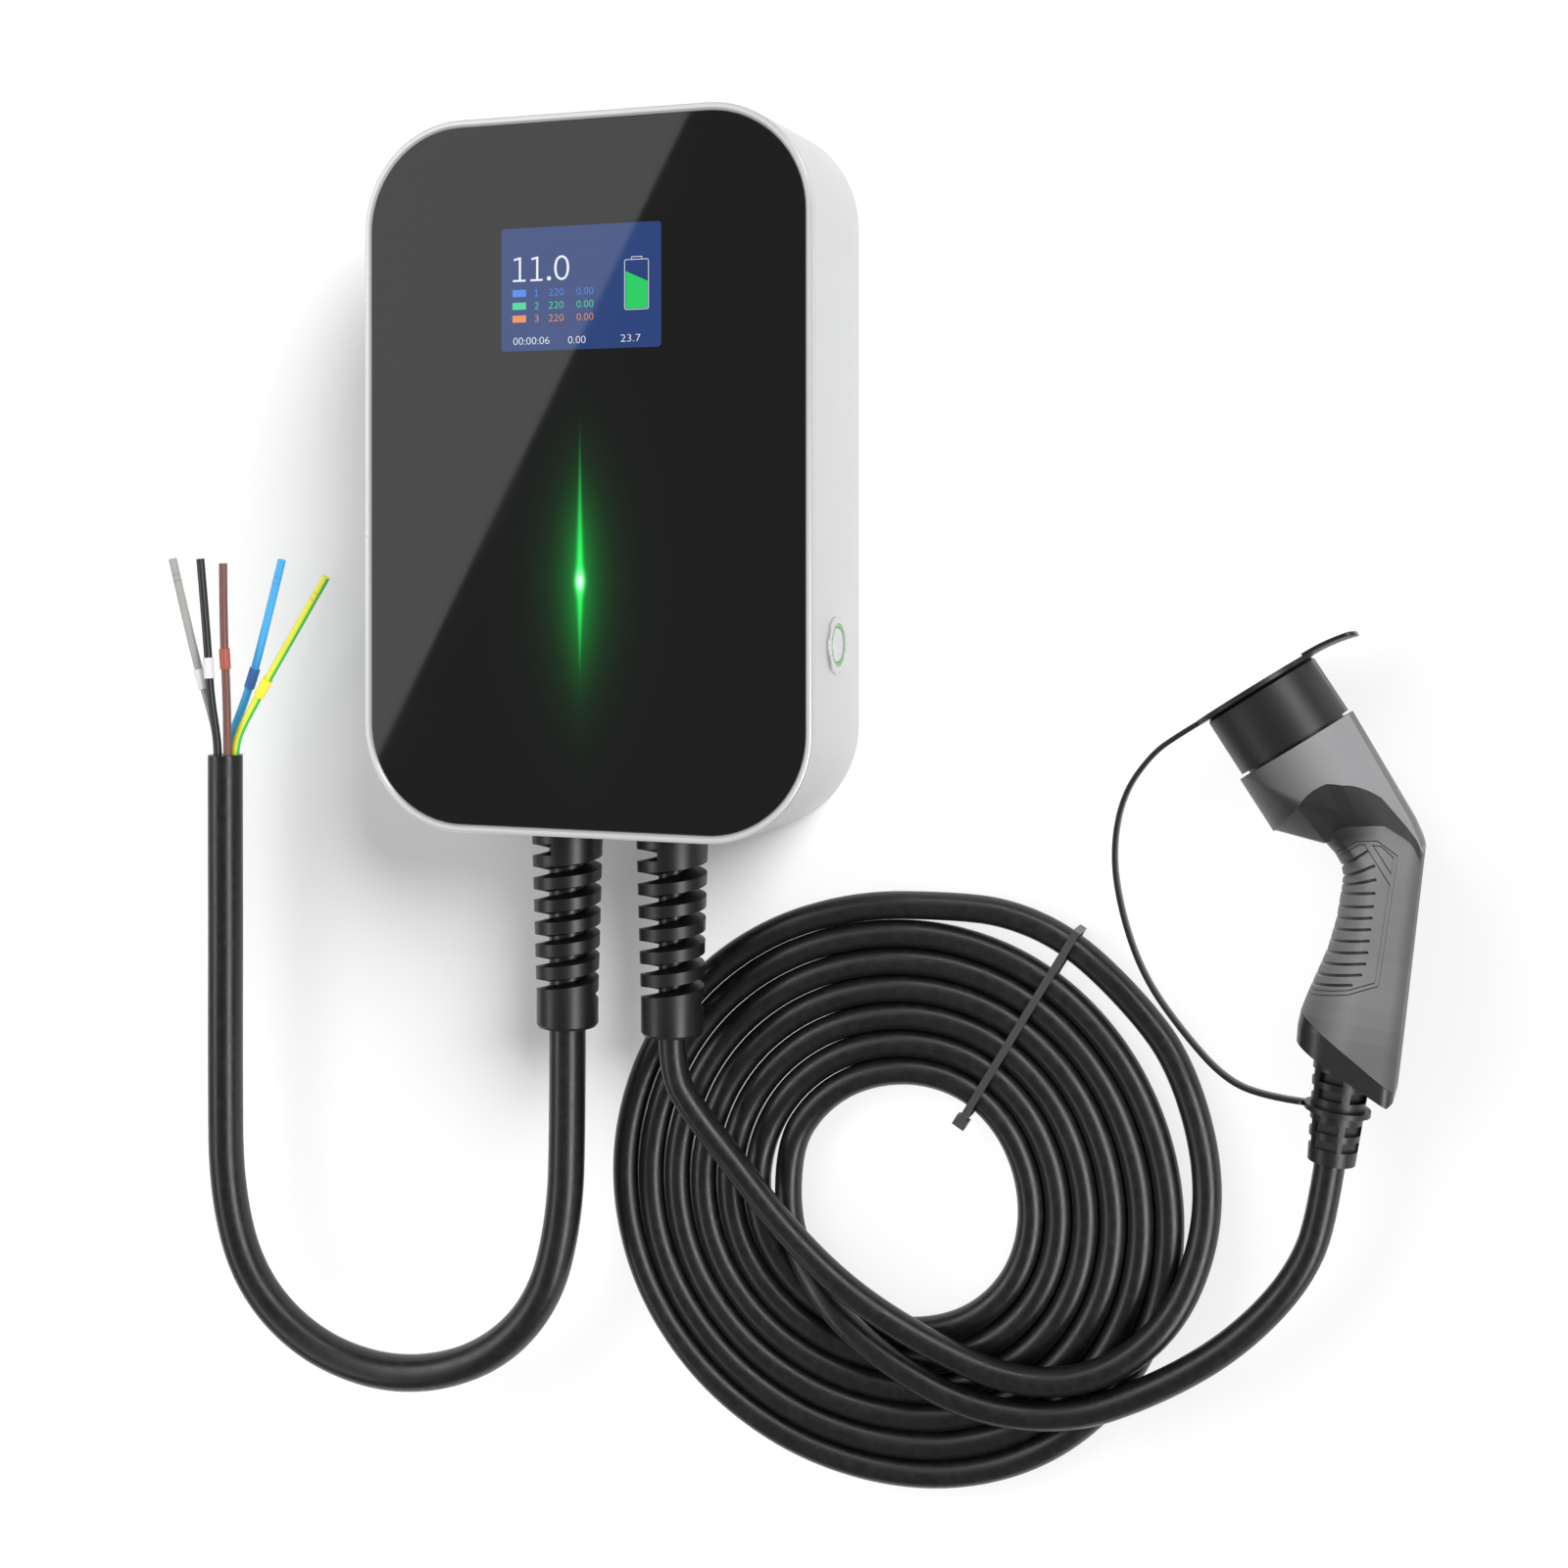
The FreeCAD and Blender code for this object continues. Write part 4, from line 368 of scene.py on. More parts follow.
nodeMaterials = {
    "rear_shell": "whiteShell",
    "front_bezel": "silverRim",
    "front_panel": "glossPanel",
    "button_bezel": "steel",
    "button_light_ring": "ringGlow",
    "button_cap": "steel",
    "cable_tie": "tie",
    "contact_sleeves": "brass",
    "connector_nose": "nose",
    "connector_near_shell": "shell",
    "connector_far_shell": "shell",
    "tail_collar": "collar",
    "connector_spine": "nose",
    "connector_boot": "boot",
    "strap_ring": "boot",
    "dust_cap": "boot",
    "input_strain_relief": "relief",
    "output_strain_relief": "relief",
    "housing_screws": "steel",
    "wall_plate": "steel",
    "grey_marker": "whiteMarker",
    "black_marker": "whiteMarker",
    "brown_marker": "brownMarker",
    "blue_marker": "blueMarker",
    "earth_marker": "yellowMarker",
    "input_cable_end": "cable",
    "output_cable_end": "cable",
    "panel_gasket": "darkRubber",
    "housing_seal": "darkRubber",
    "input_gland_seal": "darkRubber",
    "output_gland_seal": "darkRubber",
    "control_board": "board",
    "led_board": "board",
    "board_standoffs": "brass",
    "board_screws": "steel",
    "button_nut": "steel",
    "light_guide": "whiteMarker",
    "contactor": "greyPlastic",
    "power_supply": "greyPlastic",
    "input_terminal_block": "greyPlastic",
    "output_terminal_block": "greyPlastic",
}


def dressNodes():
    for name, node in nodes.items():
        chosen = materials[nodeMaterials.get(name, "blackPlastic")]
        node.data.materials.clear()
        node.data.materials.append(chosen)


dressNodes()
print("materials done")


# Cords

def splineCurve(name, points, radius, material, resolution, sides):
    curve = bpy.data.curves.new(name, "CURVE")
    curve.dimensions = "3D"
    spline = curve.splines.new("NURBS")
    spline.points.add(len(points) - 1)
    for point, place in zip(spline.points, points):
        point.co = (*place, 1)
    spline.order_u = 3
    spline.use_endpoint_u = True
    curve.resolution_u = resolution
    curve.bevel_depth = radius
    curve.bevel_resolution = sides
    curve.use_fill_caps = True
    curve.materials.append(material)
    made = bpy.data.objects.new(name, curve)
    scene.collection.objects.link(made)
    return made


def metres(points):
    return [Vector(point) * 0.001 for point in points]


def splineLength(curveObject):
    copy = curveObject.copy()
    copy.data = curveObject.data.copy()
    copy.data.bevel_depth = 0
    scene.collection.objects.link(copy)
    bpy.context.view_layer.update()
    line = bpy.data.meshes.new_from_object(copy.evaluated_get(bpy.context.evaluated_depsgraph_get()))
    places = [vertex.co.copy() for vertex in line.vertices]
    bpy.data.objects.remove(copy)
    return sum((b - a).length for a, b in zip(places, places[1:])), places


inputCable = {
    "diameter": 0.0185,
    "exit": (-23.6, -38, -277.7),
    "steps": [
        (0, 0, 0),
        (0, 0, -44),
        (-1.4, 0, -98),
        (-14, 0, -144),
        (-48, 0, -177),
        (-99, 0, -191.5),
        (-150, 0, -181.5),
        (-187, 0, -151),
        (-202, 0, -104),
        (-202.6, 0, -40),
        (-202.4, 0, 40),
        (-202.6, 0, 86),
        (-202.6, 0, 130.7),
    ],
}


def makeInputCable():
    start = Vector(inputCable["exit"])
    points = metres([start + Vector(step) for step in inputCable["steps"]])
    diameter = inputCable["diameter"]
    made = splineCurve("inputCable", points, diameter / 2, materials["cable"], 12, 7)
    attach(made, "charger")
    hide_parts("input_cable")
    length, _ = splineLength(made)
    print("input cable", round(length, 3))


wireDiameter = 0.0044

# Steps from the cut end of the cable's jacket.
conductorRoutes = {
    "grey": [(-5.2, 0.6, 0), (-5.2, 0.6, 8), (-9.6, 0, 25), (-18.6, -2.5, 56), (-30.6, -4, 105.4)],
    "black": [(-1.6, -4.9, 0), (-1.6, -4.9, 8), (-5.4, -6, 32), (-6.6, -7, 62), (-11, -7, 105.4)],
    "brown": [(3.9, -3.8, 0), (3.9, -3.8, 10), (4.6, -6, 38), (3.6, -7, 66), (2.6, -6, 103)],
    "blue": [(-0.6, 5.1, 0), (-0.6, 5.1, 8), (7.6, 8, 30), (15.4, 8, 52), (31.4, 6, 105)],
    "earth": [(5, 1.9, 0), (5, 1.9, 8), (16.4, 2, 27), (29, 1, 46), (62.3, 0, 96)],
}


def makeConductors():
    foot = Vector(inputCable["exit"]) + Vector(inputCable["steps"][-1])
    for color, steps in conductorRoutes.items():
        points = metres([foot + Vector(step) for step in steps])
        made = splineCurve(color + "Conductor", points, wireDiameter / 2, materials[color + "Wire"], 8, 4)
        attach(made, "charger")
        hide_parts(color + "_conductor")
        length, _ = splineLength(made)
        print(color, "conductor", round(length, 4))


outputCable = {
    "diameter": 0.0138,
    "exit": (33.8, -38, -277.7),
    "lead": [
        (33.8, -38, -297.7),
        (43.5, -35.5, -315),
        (63, -30.5, -340),
        (89, -29, -371),
        (123, -31, -398.5),
        (163, -27, -420.5),
        (205, -24, -435.5),
        (246, -24, -427.5),
        (278, -20.5, -401),
        (293.5, -13, -364),
        (294.5, -8.4, -324),
        (281, -8.4, -279),
        (259.5, -8.4, -252),
        (229, -8.4, -225),
        (199, -8.4, -213),
        (170, -8.4, -211),
    ],
    "tail": [
        (84, -8.4, -372),
        (94, -11, -395),
        (111, -20.5, -412),
        (139, -22.5, -432),
        (183, -22.5, -451),
        (231, -22.5, -449.5),
        (273, -23.5, -429),
        (309, -26, -403),
        (338, -29, -369),
        (350.3, -31, -335.6),
        (357.2, -31, -275.4),
    ],
    "coilMiddle": (146.3, -8.4, -358),
    "coilHole": 56.5,
    "coilPitch": {0: 13.3, 90: 13.5, 180: 14.5, 270: 13.9},
    "coilRings": 6.5,
    "coilLapStart": 58,
    "coilMovesIn": (180, 280),
    "coilBulge": {"angle": 58, "spread": 32, "reach": 3},
    "coilStart": 100,
    "coilTurns": 6,
    "coilEnd": 172,
    "coilStep": 20,
}


def smooth(share):
    return share * share * (3 - 2 * share)


def coilPoints():
    # Flat turns from the outermost inwards; each one moves in by a pitch between the left and the bottom.
    points = []
    middle = Vector(outputCable["coilMiddle"])
    step = outputCable["coilStep"]
    turned = outputCable["coilStart"]
    last = outputCable["coilTurns"] * 360 + outputCable["coilEnd"]
    pitches = outputCable["coilPitch"]
    lapStart = outputCable["coilLapStart"]
    movesFrom, movesTo = outputCable["coilMovesIn"]
    while turned <= last:
        angle = turned % 360
        quarter = int(angle // 90) * 90
        share = smooth((angle - quarter) / 90)
        pitch = pitches[quarter] * (1 - share) + pitches[(quarter + 90) % 360] * share
        fall = smooth(min(1, max(0, (angle - movesFrom) / (movesTo - movesFrom))))
        laps = (turned - lapStart) // 360
        rings = outputCable["coilRings"] - laps - (fall if angle >= lapStart else 1)
        bulge = outputCable["coilBulge"]
        swell = bulge["reach"] * math.exp(-(((angle - bulge["angle"]) / bulge["spread"]) ** 2))
        radius = (outputCable["coilHole"] + rings * pitch + swell) / math.cos(math.radians(step / 2))
        around = math.radians(angle)
        points.append(middle + Vector((math.cos(around) * radius, 0, math.sin(around) * radius)))
        turned += step
    return points


def makeOutputCable():
    route = [Vector(outputCable["exit"])] + [Vector(point) for point in outputCable["lead"]]
    route += coilPoints() + [Vector(point) for point in outputCable["tail"]]
    points = metres(route)
    diameter = outputCable["diameter"]
    made = splineCurve("outputCable", points, diameter / 2, materials["cable"], 10, 6)
    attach(made, "charger")
    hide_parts("output_lead", "output_coil", "output_tail")
    length, _ = splineLength(made)
    pieces = ["cable_tie", "connector_near_shell", "connector_far_shell", "connector_spine", "tail_collar"]
    pieces += ["connector_nose", "contact_block", "contact_sleeves", "connector_boot", "strap_ring"]
    print("output cable", round(length, 3))


capStrap = {
    "route": [
        (341.2, -31, -287.1),
        (323, -31, -286),
        (305, -31, -279.5),
        (286, -31, -259.5),
        (268.5, -31, -236),
        (258, -31, -208),
        (253.3, -31, -179),
        (258, -31, -151),
        (272, -31, -131),
        (285, -31, -121.8),
        (293.1, -31, -116.7),
    ],
    "width": 0.005,
    "thickness": 0.0024,
    "round": 0.0006,
}


def stripSection(width, thickness, corner):
    # The strap's section round its own centre line is flat, with rounded corners.
    section = []
    for turn in (45, 135, 225, 315):
        for part in (-30, 0, 30):
            angle = math.radians(turn + part)
            middle = Vector((math.copysign(width / 2 - corner, math.cos(math.radians(turn))), 0, 0))
            middle.z = math.copysign(thickness / 2 - corner, math.sin(math.radians(turn)))
            section.append(middle + Vector((math.cos(angle), 0, math.sin(angle))) * corner)
    return section


def makeCapStrap():
    points = metres(capStrap["route"])
    route = splineCurve("capStrapRoute", points, 0, materials["strap"], 8, 0)
    length, places = splineLength(route)
    bpy.data.objects.remove(route)
    section = stripSection(capStrap["width"], capStrap["thickness"], capStrap["round"])
    shape = bmesh.new()
    rings = []
    for index, place in enumerate(places):
        before = places[max(index - 1, 0)]
        after = places[min(index + 1, len(places) - 1)]
        along = (after - before).normalized()
        side = Vector((0, 1, 0))
        upward = along.cross(side).normalized()
        rings.append([shape.verts.new(place + side * corner.x + upward * corner.z) for corner in section])
    count = len(section)
    for first, second in zip(rings, rings[1:]):
        for index in range(count):
            following = (index + 1) % count
            shape.faces.new((first[index], first[following], second[following], second[index]))
    shape.faces.new(rings[0])
    shape.faces.new(list(reversed(rings[-1])))
    bmesh.ops.recalc_face_normals(shape, faces=shape.faces)
    mesh = bpy.data.meshes.new("capStrap")
    shape.to_mesh(mesh)
    shape.free()
    mesh.materials.append(materials["strap"])
    for face in mesh.polygons:
        face.use_smooth = len(face.vertices) == 4
    made = bpy.data.objects.new("capStrap", mesh)
    scene.collection.objects.link(made)
    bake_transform(made)
    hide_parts("cap_strap")
    print("strap", round(length, 3))


makeInputCable()
makeConductors()
makeOutputCable()
makeCapStrap()
print("cords done")


# The spring behind the round button

spring = {
    "wire": 0.00045,
    "turns": 3,
    "steps": 16,
    "keep": 0.755,
}


def makeSpring():
    low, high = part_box("button_spring")
    middle = (low + high) / 2
    reach = (high.z - low.z) / 2 - spring["wire"]
    start = low.x + spring["wire"]
    length = high.x - low.x - 2 * spring["wire"]
    total = spring["turns"] * spring["steps"]
    points = []
    for step in range(total + 1):
        around = step / spring["steps"] * 2 * math.pi
        side = Vector((0, math.cos(around), math.sin(around))) * reach
        points.append(Vector((start + length * step / total, middle.y, middle.z)) + side)
    made = splineCurve("buttonSpring", points, spring["wire"], materials["steel"], 2, 2)
    bpy.ops.object.select_all(action="DESELECT")
    made.select_set(True)
    bpy.context.view_layer.objects.active = made
    bpy.ops.object.convert(target="MESH")
    made = bpy.context.object
    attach(made, "charger")
    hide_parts("button_spring")
    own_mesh(made)


makeSpring()


# The display's lit marks, thin plates that stand on the panel's glass

display = {
    "left": -0.0425,
    "right": 0.043,
    "foot": 0.0611,
    "top": 0.1216,
    "corner": 0.002,
    "plate": 0.0001,
    "swatch": (-0.0364, -0.029, 0.0035),
    "swatchCorner": 0.0003,
    "rows": {"blue": 0.0878, "green": 0.0815, "orange": 0.0752},
    "rowHeight": 0.0034,
    "columns": {"220": (-0.0167, -0.0087), "0.00": (-0.0016, 0.0072)},
    "labels": (-0.0244, -0.0222),
    "bigRow": (0.0953, 0.1073),
    "bigOnes": [(-0.0362, -0.0293), (-0.0266, -0.02)],
    "bigPoint": (-0.0176, -0.0155),
    "bigNought": (-0.0137, -0.0057),
    "bigStroke": 0.0011,
    "smallStroke": 0.0004,
    "fontDepth": 0.02,
    "fontThinned": -0.018,
    "small": [
        ("00:00:06", -0.0359, -0.0164, 0.0643, 0.0678),
        ("0.00", -0.0062, 0.0031, 0.0641, 0.0676),
        ("23.7", 0.0218, 0.0322, 0.0640, 0.0675),
    ],
}

battery = {
    "left": 0.0237,
    "right": 0.0365,
    "foot": 0.0794,
    "top": 0.1038,
    "corner": 0.0011,
    "line": 0.00028,
    "terminal": (0.0274, 0.0330, 0.0013),
    "terminalCorner": 0.0002,
    "fill": (0.0244, 0.0359, 0.08, 0.0981),
    "fillDrop": 0.0051,
}

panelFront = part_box("front_panel")[0][1]


def finishEdit():
    bpy.ops.mesh.select_all(action="SELECT")
    bpy.ops.mesh.remove_doubles(threshold=0.000001)
    bpy.ops.mesh.normals_make_consistent(inside=False)
    bpy.ops.object.mode_set(mode="OBJECT")


def dressPiece(made, name, material):
    made.name = name
    made.data.materials.clear()
    made.data.materials.append(materials[material])
    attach(made, "charger")
    return made


def startPlate(left, right, foot, top, corner, lift):
    # Leaves a flat outline in edit mode, upright, lift in front of the panel.
    bpy.ops.object.select_all(action="DESELECT")
    middle = ((left + right) / 2, panelFront - lift, (foot + top) / 2)
    bpy.ops.mesh.primitive_plane_add(size=1, location=middle, rotation=(math.pi / 2, 0, 0))
    made = bpy.context.object
    made.scale = (right - left, top - foot, 1)
    bpy.ops.object.transform_apply(location=True, rotation=True, scale=True)
    bpy.ops.object.mode_set(mode="EDIT")
    bpy.ops.mesh.select_all(action="SELECT")
    if corner:
        bpy.ops.mesh.bevel(offset=corner, segments=6, affect="VERTICES")
        bpy.ops.mesh.select_all(action="SELECT")
    return made


def thicken():
    move = {"value": (0, -display["plate"], 0)}
    bpy.ops.mesh.extrude_region_move(TRANSFORM_OT_translate=move)
    finishEdit()


def plate(name, left, right, foot, top, corner, lift, material):
    made = startPlate(left, right, foot, top, corner, lift)
    thicken()
    return dressPiece(made, name, material)


def lineFrame(name, left, right, foot, top, corner, line, lift, material):
    made = startPlate(left, right, foot, top, corner, lift)
    bpy.ops.mesh.inset(thickness=line)
    bpy.ops.mesh.delete(type="FACE")
    bpy.ops.mesh.select_all(action="SELECT")
    thicken()
    return dressPiece(made, name, material)


def figureOne(name, left, right, foot, top, stroke, material):
    # A one with a foot and a flag, from three strokes joined into one mesh.
    lift = display["plate"]
    middle = left + (right - left) * 0.56
    stem = plate(name, middle - stroke / 2, middle + stroke / 2, foot, top, 0, lift, material)
    base = plate(name + "Foot", left, right, foot, foot + stroke * 0.85, 0, lift, material)
    flag = startPlate(left + stroke * 0.5, middle, top - stroke * 1.5, top - stroke * 0.6, 0, lift)
    shape = bmesh.from_edit_mesh(flag.data)
    for vertex in shape.verts:
        if vertex.co.x > middle - stroke / 2:
            vertex.co.z += stroke * 0.6
    bmesh.update_edit_mesh(flag.data)
    thicken()
    flag.data.materials.append(materials[material])
    bpy.ops.object.select_all(action="DESELECT")
    for part in (base, flag, stem):
        part.select_set(True)
    bpy.context.view_layer.objects.active = stem
    bpy.ops.object.join()
    return stem


def number(name, words, left, right, foot, top, material):
    # Figures set in the plain font, turned into a mesh and fitted between the four sides.
    bpy.ops.object.select_all(action="DESELECT")
    bpy.ops.object.text_add(rotation=(math.pi / 2, 0, 0))
    made = bpy.context.object
    made.data.body = words
    made.data.extrude = display["fontDepth"]
    made.data.offset = display["fontThinned"]
    bpy.ops.object.convert(target="MESH")
    bpy.ops.object.transform_apply(location=True, rotation=True, scale=True)
    corners = [Vector(corner) for corner in made.bound_box]
    low = Vector([min(corner[axis] for corner in corners) for axis in range(3)])
    high = Vector([max(corner[axis] for corner in corners) for axis in range(3)])
    across = (right - left) / (high.x - low.x)
    upward = (top - foot) / (high.z - low.z)
    inward = display["plate"] / (high.y - low.y)
    made.scale = (across, inward, upward)
    front = panelFront - 2 * display["plate"]
    made.location = (left - low.x * across, front - low.y * inward, foot - low.z * upward)
    bpy.ops.object.transform_apply(location=True, rotation=True, scale=True)
    bpy.ops.object.mode_set(mode="EDIT")
    finishEdit()
    return dressPiece(made, name, material)


def makeDisplay():
    edges = [display[side] for side in ("left", "right", "foot", "top")]
    plate("screen", *edges, display["corner"], 0, "screenBlue")
    for index, (start, end) in enumerate(display["bigOnes"]):
        figureOne(f"bigOne{index}", start, end, *display["bigRow"], display["bigStroke"], "white")
    start, end = display["bigPoint"]
    foot, top = display["bigRow"]
    plate("bigPoint", start, end, foot, foot + end - start, (end - start) * 0.48, display["plate"], "white")
    number("bigNought", "0", *display["bigNought"], foot, top, "white")
    for index, (words, *sides) in enumerate(display["small"]):
        number(f"smallReading{index}", words, *sides, "white")
    left, right, tall = display["swatch"]
    for index, (color, foot) in enumerate(display["rows"].items()):
        corner = display["swatchCorner"]
        plate(color + "Swatch", left, right, foot, foot + tall, corner, display["plate"], color)
        top = foot + display["rowHeight"]
        if index == 0:
            figureOne(color + "Label", *display["labels"], foot, top, display["smallStroke"], color)
        else:
            number(color + "Label", str(index + 1), *display["labels"], foot, top, color)
        for words, (start, end) in display["columns"].items():
            number(color + "Row" + words, words, start, end, foot, top, color)


def makeBattery():
    left, right, foot, top = [battery[side] for side in ("left", "right", "foot", "top")]
    lift = display["plate"]
    line = battery["line"]
    lineFrame("batteryFrame", left, right, foot, top, battery["corner"], line, lift, "white")
    start, end, tall = battery["terminal"]
    corner = battery["terminalCorner"]
    lineFrame("batteryTerminal", start, end, top - line, top + tall, corner, line, lift * 1.2, "white")
    left, right, foot, top = battery["fill"]
    made = startPlate(left, right, foot, top, 0, lift)
    bpy.ops.mesh.select_all(action="DESELECT")
    shape = bmesh.from_edit_mesh(made.data)
    for vertex in shape.verts:
        vertex.select = vertex.co.x > (left + right) / 2 and vertex.co.z > (foot + top) / 2
    shape.select_flush_mode()
    bmesh.update_edit_mesh(made.data)
    bpy.ops.transform.translate(value=(0, 0, -battery["fillDrop"]))
    bpy.ops.mesh.select_all(action="SELECT")
    thicken()
    dressPiece(made, "batteryFill", "batteryGreen")


makeDisplay()
makeBattery()
print("display done")


# Camera, backdrop and lights

cameraFacts = {
    "place": (0.450, -1.041, -0.0362),
    "turn": 19.6,
    "lens": 50,
    "sensor": 36,
    "shift": -0.15,
    "picture": 1600,
}


def makeCamera():
    data = bpy.data.cameras.new("camera")
    data.lens = cameraFacts["lens"]
    data.sensor_width = cameraFacts["sensor"]
    data.shift_y = cameraFacts["shift"]
    made = bpy.data.objects.new("camera", data)
    made.location = cameraFacts["place"]
    made.rotation_euler = (math.radians(90), 0, math.radians(cameraFacts["turn"]))
    scene.collection.objects.link(made)
    scene.camera = made


def flatSheet(name, corners, material):
    mesh = bpy.data.meshes.new(name)
    mesh.from_pydata(corners, [], [tuple(range(len(corners)))])
    mesh.materials.append(material)
    made = bpy.data.objects.new(name, mesh)
    scene.collection.objects.link(made)
    made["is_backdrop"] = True
    return made


backdrop = {
    "behind": 0.0004,
    "reach": 4,
    "shade": 0.82,
    "glow": 0.16,
    "around": 0.22,
}


def backdropMaterial():
    # White from the front, and not there at all from behind.
    made = bpy.data.materials.new("backdrop")
    made.use_nodes = True
    tree = made.node_tree
    tree.nodes.clear()
    side = Value(tree, tree.nodes.new("ShaderNodeNewGeometry").outputs["Backfacing"])
    matt = side.node("ShaderNodeBsdfDiffuse", {"Color": grey(backdrop["shade"])})
    glow = side.node("ShaderNodeEmission", {"Color": grey(1), "Strength": backdrop["glow"]})
    both = side.node("ShaderNodeAddShader", {0: matt, 1: glow})
    clear = side.node("ShaderNodeBsdfTransparent", {})
    mixed = side.node("ShaderNodeMixShader", {0: side, 1: both, 2: clear})
    out = tree.nodes.new("ShaderNodeOutputMaterial")
    tree.links.new(mixed.out, out.inputs["Surface"])
    return made


def makeBackdrop():
    reach = backdrop["reach"]
    corners = [(x * reach, backdrop["behind"], z * reach) for x, z in ((-1, -1), (1, -1), (1, 1), (-1, 1))]
    return flatSheet("wall", corners, backdropMaterial())


def glowMaterial(name, strength):
    made = bpy.data.materials.new(name)
    made.use_nodes = True
    tree = made.node_tree
    tree.nodes.clear()
    light = tree.nodes.new("ShaderNodeEmission")
    light.inputs["Color"].default_value = grey(1)
    light.inputs["Strength"].default_value = strength
    out = tree.nodes.new("ShaderNodeOutputMaterial")
    tree.links.new(light.outputs[0], out.inputs["Surface"])
    return made


def areaLight(name, place, aim, width, height, power):
    data = bpy.data.lights.new(name, "AREA")
    data.shape = "RECTANGLE"
    data.size = width
    data.size_y = height
    data.energy = power
    made = bpy.data.objects.new(name, data)
    made.location = place
    made.rotation_mode = "QUATERNION"
    made.rotation_quaternion = (Vector(aim) - Vector(place)).to_track_quat("-Z", "Y")
    scene.collection.objects.link(made)
    return made


def makeWorld():
    # The camera sees white past the wall, and the pieces get a softer light from all round.
    world = bpy.data.worlds.new("world")
    world.use_nodes = True
    tree = world.node_tree
    tree.nodes.clear()
    rays = tree.nodes.new("ShaderNodeLightPath")
    seen = Value(tree, rays.outputs["Is Camera Ray"])
    soft = seen.node("ShaderNodeBackground", {"Color": grey(1), "Strength": backdrop["around"]})
    white = seen.node("ShaderNodeBackground", {"Color": grey(1), "Strength": 1.0})
    mixed = seen.node("ShaderNodeMixShader", {0: seen, 1: soft, 2: white})
    out = tree.nodes.new("ShaderNodeOutputWorld")
    tree.links.new(mixed.out, out.inputs["Surface"])
    scene.world = world


# The edge is given by two points of the picture, in its own pixels.
panelCard = {
    "edge": [(704, 113), (386, 771)],
    "distance": 1.6,
    "beyond": 0.9,
    "reach": 1.4,
    "strength": 1.5,
}


def throughPanel(pixel):
    # Where the mirrored view through this image point meets the card's plane, in front of the panel.
    turn = math.radians(cameraFacts["turn"])
    picture = cameraFacts["picture"]
    focal = picture * cameraFacts["lens"] / cameraFacts["sensor"]
    x = (pixel[0] - picture / 2) / focal
    z = (picture / 2 + picture * cameraFacts["shift"] - pixel[1]) / focal
    ahead = Vector((-math.sin(turn), math.cos(turn), 0))
    right = Vector((math.cos(turn), math.sin(turn), 0))
    ray = ahead + right * x + Vector((0, 0, z))
    eye = Vector(cameraFacts["place"])
    onPanel = eye + ray * ((panelFront - eye.y) / ray.y)
    back = Vector((ray.x, -ray.y, ray.z))
    return onPanel + back * (panelCard["distance"] / -back.y)


def makePanelCard():
    # The light card whose straight edge the glossy panel mirrors as a diagonal.
    top, foot = (throughPanel(pixel) for pixel in panelCard["edge"])
    along = (top - foot).normalized()
    outward = Vector((-along.z, 0, along.x))
    if outward.x > 0:
        outward = -outward
    reach = outward * panelCard["reach"]
    beyond = along * panelCard["beyond"]
    corners = [top + beyond, foot - beyond, foot - beyond + reach, top + beyond + reach]
    card = flatSheet("lightCard", corners, glowMaterial("cardGlow", panelCard["strength"]))
    card.visible_camera = False
    card.visible_shadow = False


def lightGroup(name, members):
    made = bpy.data.collections.new(name)
    for member in members:
        made.objects.link(member)
    return made


housingNames = ("rear_shell", "front_bezel", "front_panel")
shellNames = ("connector_near_shell", "connector_far_shell", "connector_spine")

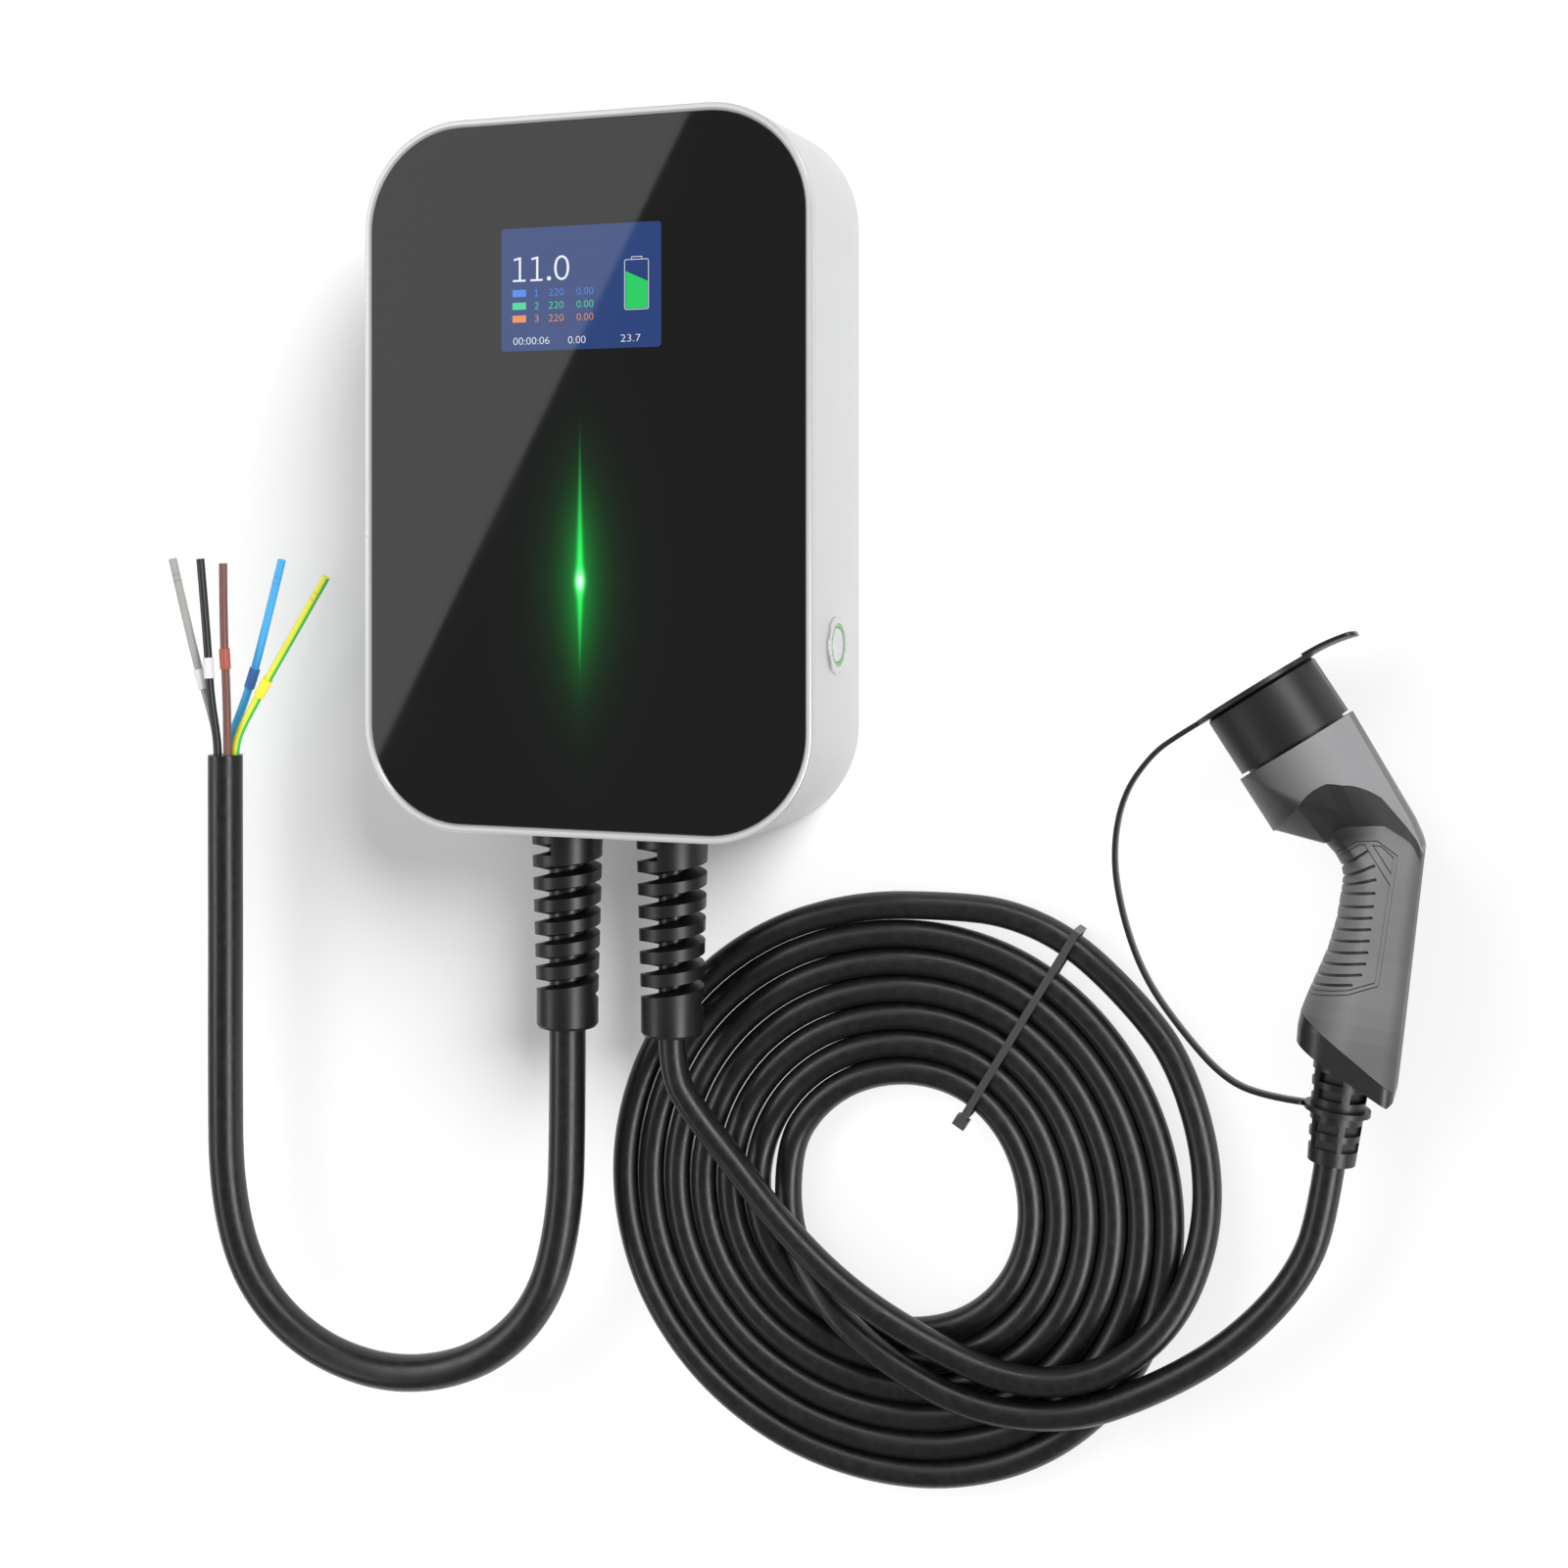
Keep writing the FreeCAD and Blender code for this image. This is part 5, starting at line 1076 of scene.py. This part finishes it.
# Place, aim, width, height, power and the pieces that each light reaches.
lights = {
    "key": ((1.5, -1.6, 1.5), (0.05, 0, -0.1), 1.0, 1.0, 17, "rest"),
    "fill": ((-1.8, -1.5, 0.2), (0, 0, -0.1), 1.4, 1.4, 7, "rest"),
    "rimLight": ((0.5, -1.6, -0.5), (0, 0, 0), 0.8, 0.8, 12, "rim"),
    "sideLight": ((1.6, -0.6, -0.7), (0.12, -0.03, -0.15), 0.5, 0.5, 3.5, "back"),
    "rightStrip": ((1.35, -1.0, -0.6), (0, -0.03, -0.4), 0.6, 2.4, 32, "dark"),
    "leftStrip": ((-0.95, -0.95, -0.4), (0, -0.03, -0.4), 0.25, 2.2, 5, "dark"),
    "topBox": ((0.3, -1.0, 1.4), (0.15, -0.03, -0.4), 1.6, 0.3, 9, "dark"),
    "shellKey": ((0.46, -0.76, 1.34), (0.36, -0.03, -0.2), 0.5, 0.5, 178, "shell"),
    "leftBox": ((-0.85, -0.65, -0.66), (0.33, -0.03, -0.2), 0.5, 0.9, 3.5, "shell"),
}


def makeLights():
    # The black pieces and the connector have soft boxes of their own, which the glossy panel doesn't mirror.
    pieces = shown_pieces()
    groups = {
        "rim": [nodes["front_bezel"]],
        "back": [nodes["rear_shell"]],
        "shell": [nodes[name] for name in shellNames],
    }
    groups["rest"] = [item for item in pieces if item.name not in shellNames]
    groups["dark"] = [item for item in groups["rest"] if item.name not in housingNames]
    groups = {name: lightGroup(name + "Lit", members) for name, members in groups.items()}
    for name, (*facts, group) in lights.items():
        made = areaLight(name, *facts)
        made.light_linking.receiver_collection = groups[group]


wallLight = {
    "from": (2.55, -1.95, 2.05),
    "spread": 40,
    "strength": 4.65,
}


def makeWallLight(wall):
    # Lights the wall alone, and only the housing and its reliefs cast a shadow on it.
    data = bpy.data.lights.new("wallLight", "SUN")
    data.angle = math.radians(wallLight["spread"])
    data.energy = wallLight["strength"]
    made = bpy.data.objects.new("wallLight", data)
    made.rotation_mode = "QUATERNION"
    made.rotation_quaternion = (-Vector(wallLight["from"])).to_track_quat("-Z", "Y")
    scene.collection.objects.link(made)
    made.light_linking.receiver_collection = lightGroup("wallLit", [wall])
    shading = housingNames + ("input_strain_relief", "output_strain_relief")
    made.light_linking.blocker_collection = lightGroup("wallShade", [nodes[name] for name in shading])


makeCamera()
wall = makeBackdrop()
makeWorld()
makePanelCard()
makeWallLight(wall)
makeLights()
scene.view_settings.view_transform = "Standard"
print("scene done")
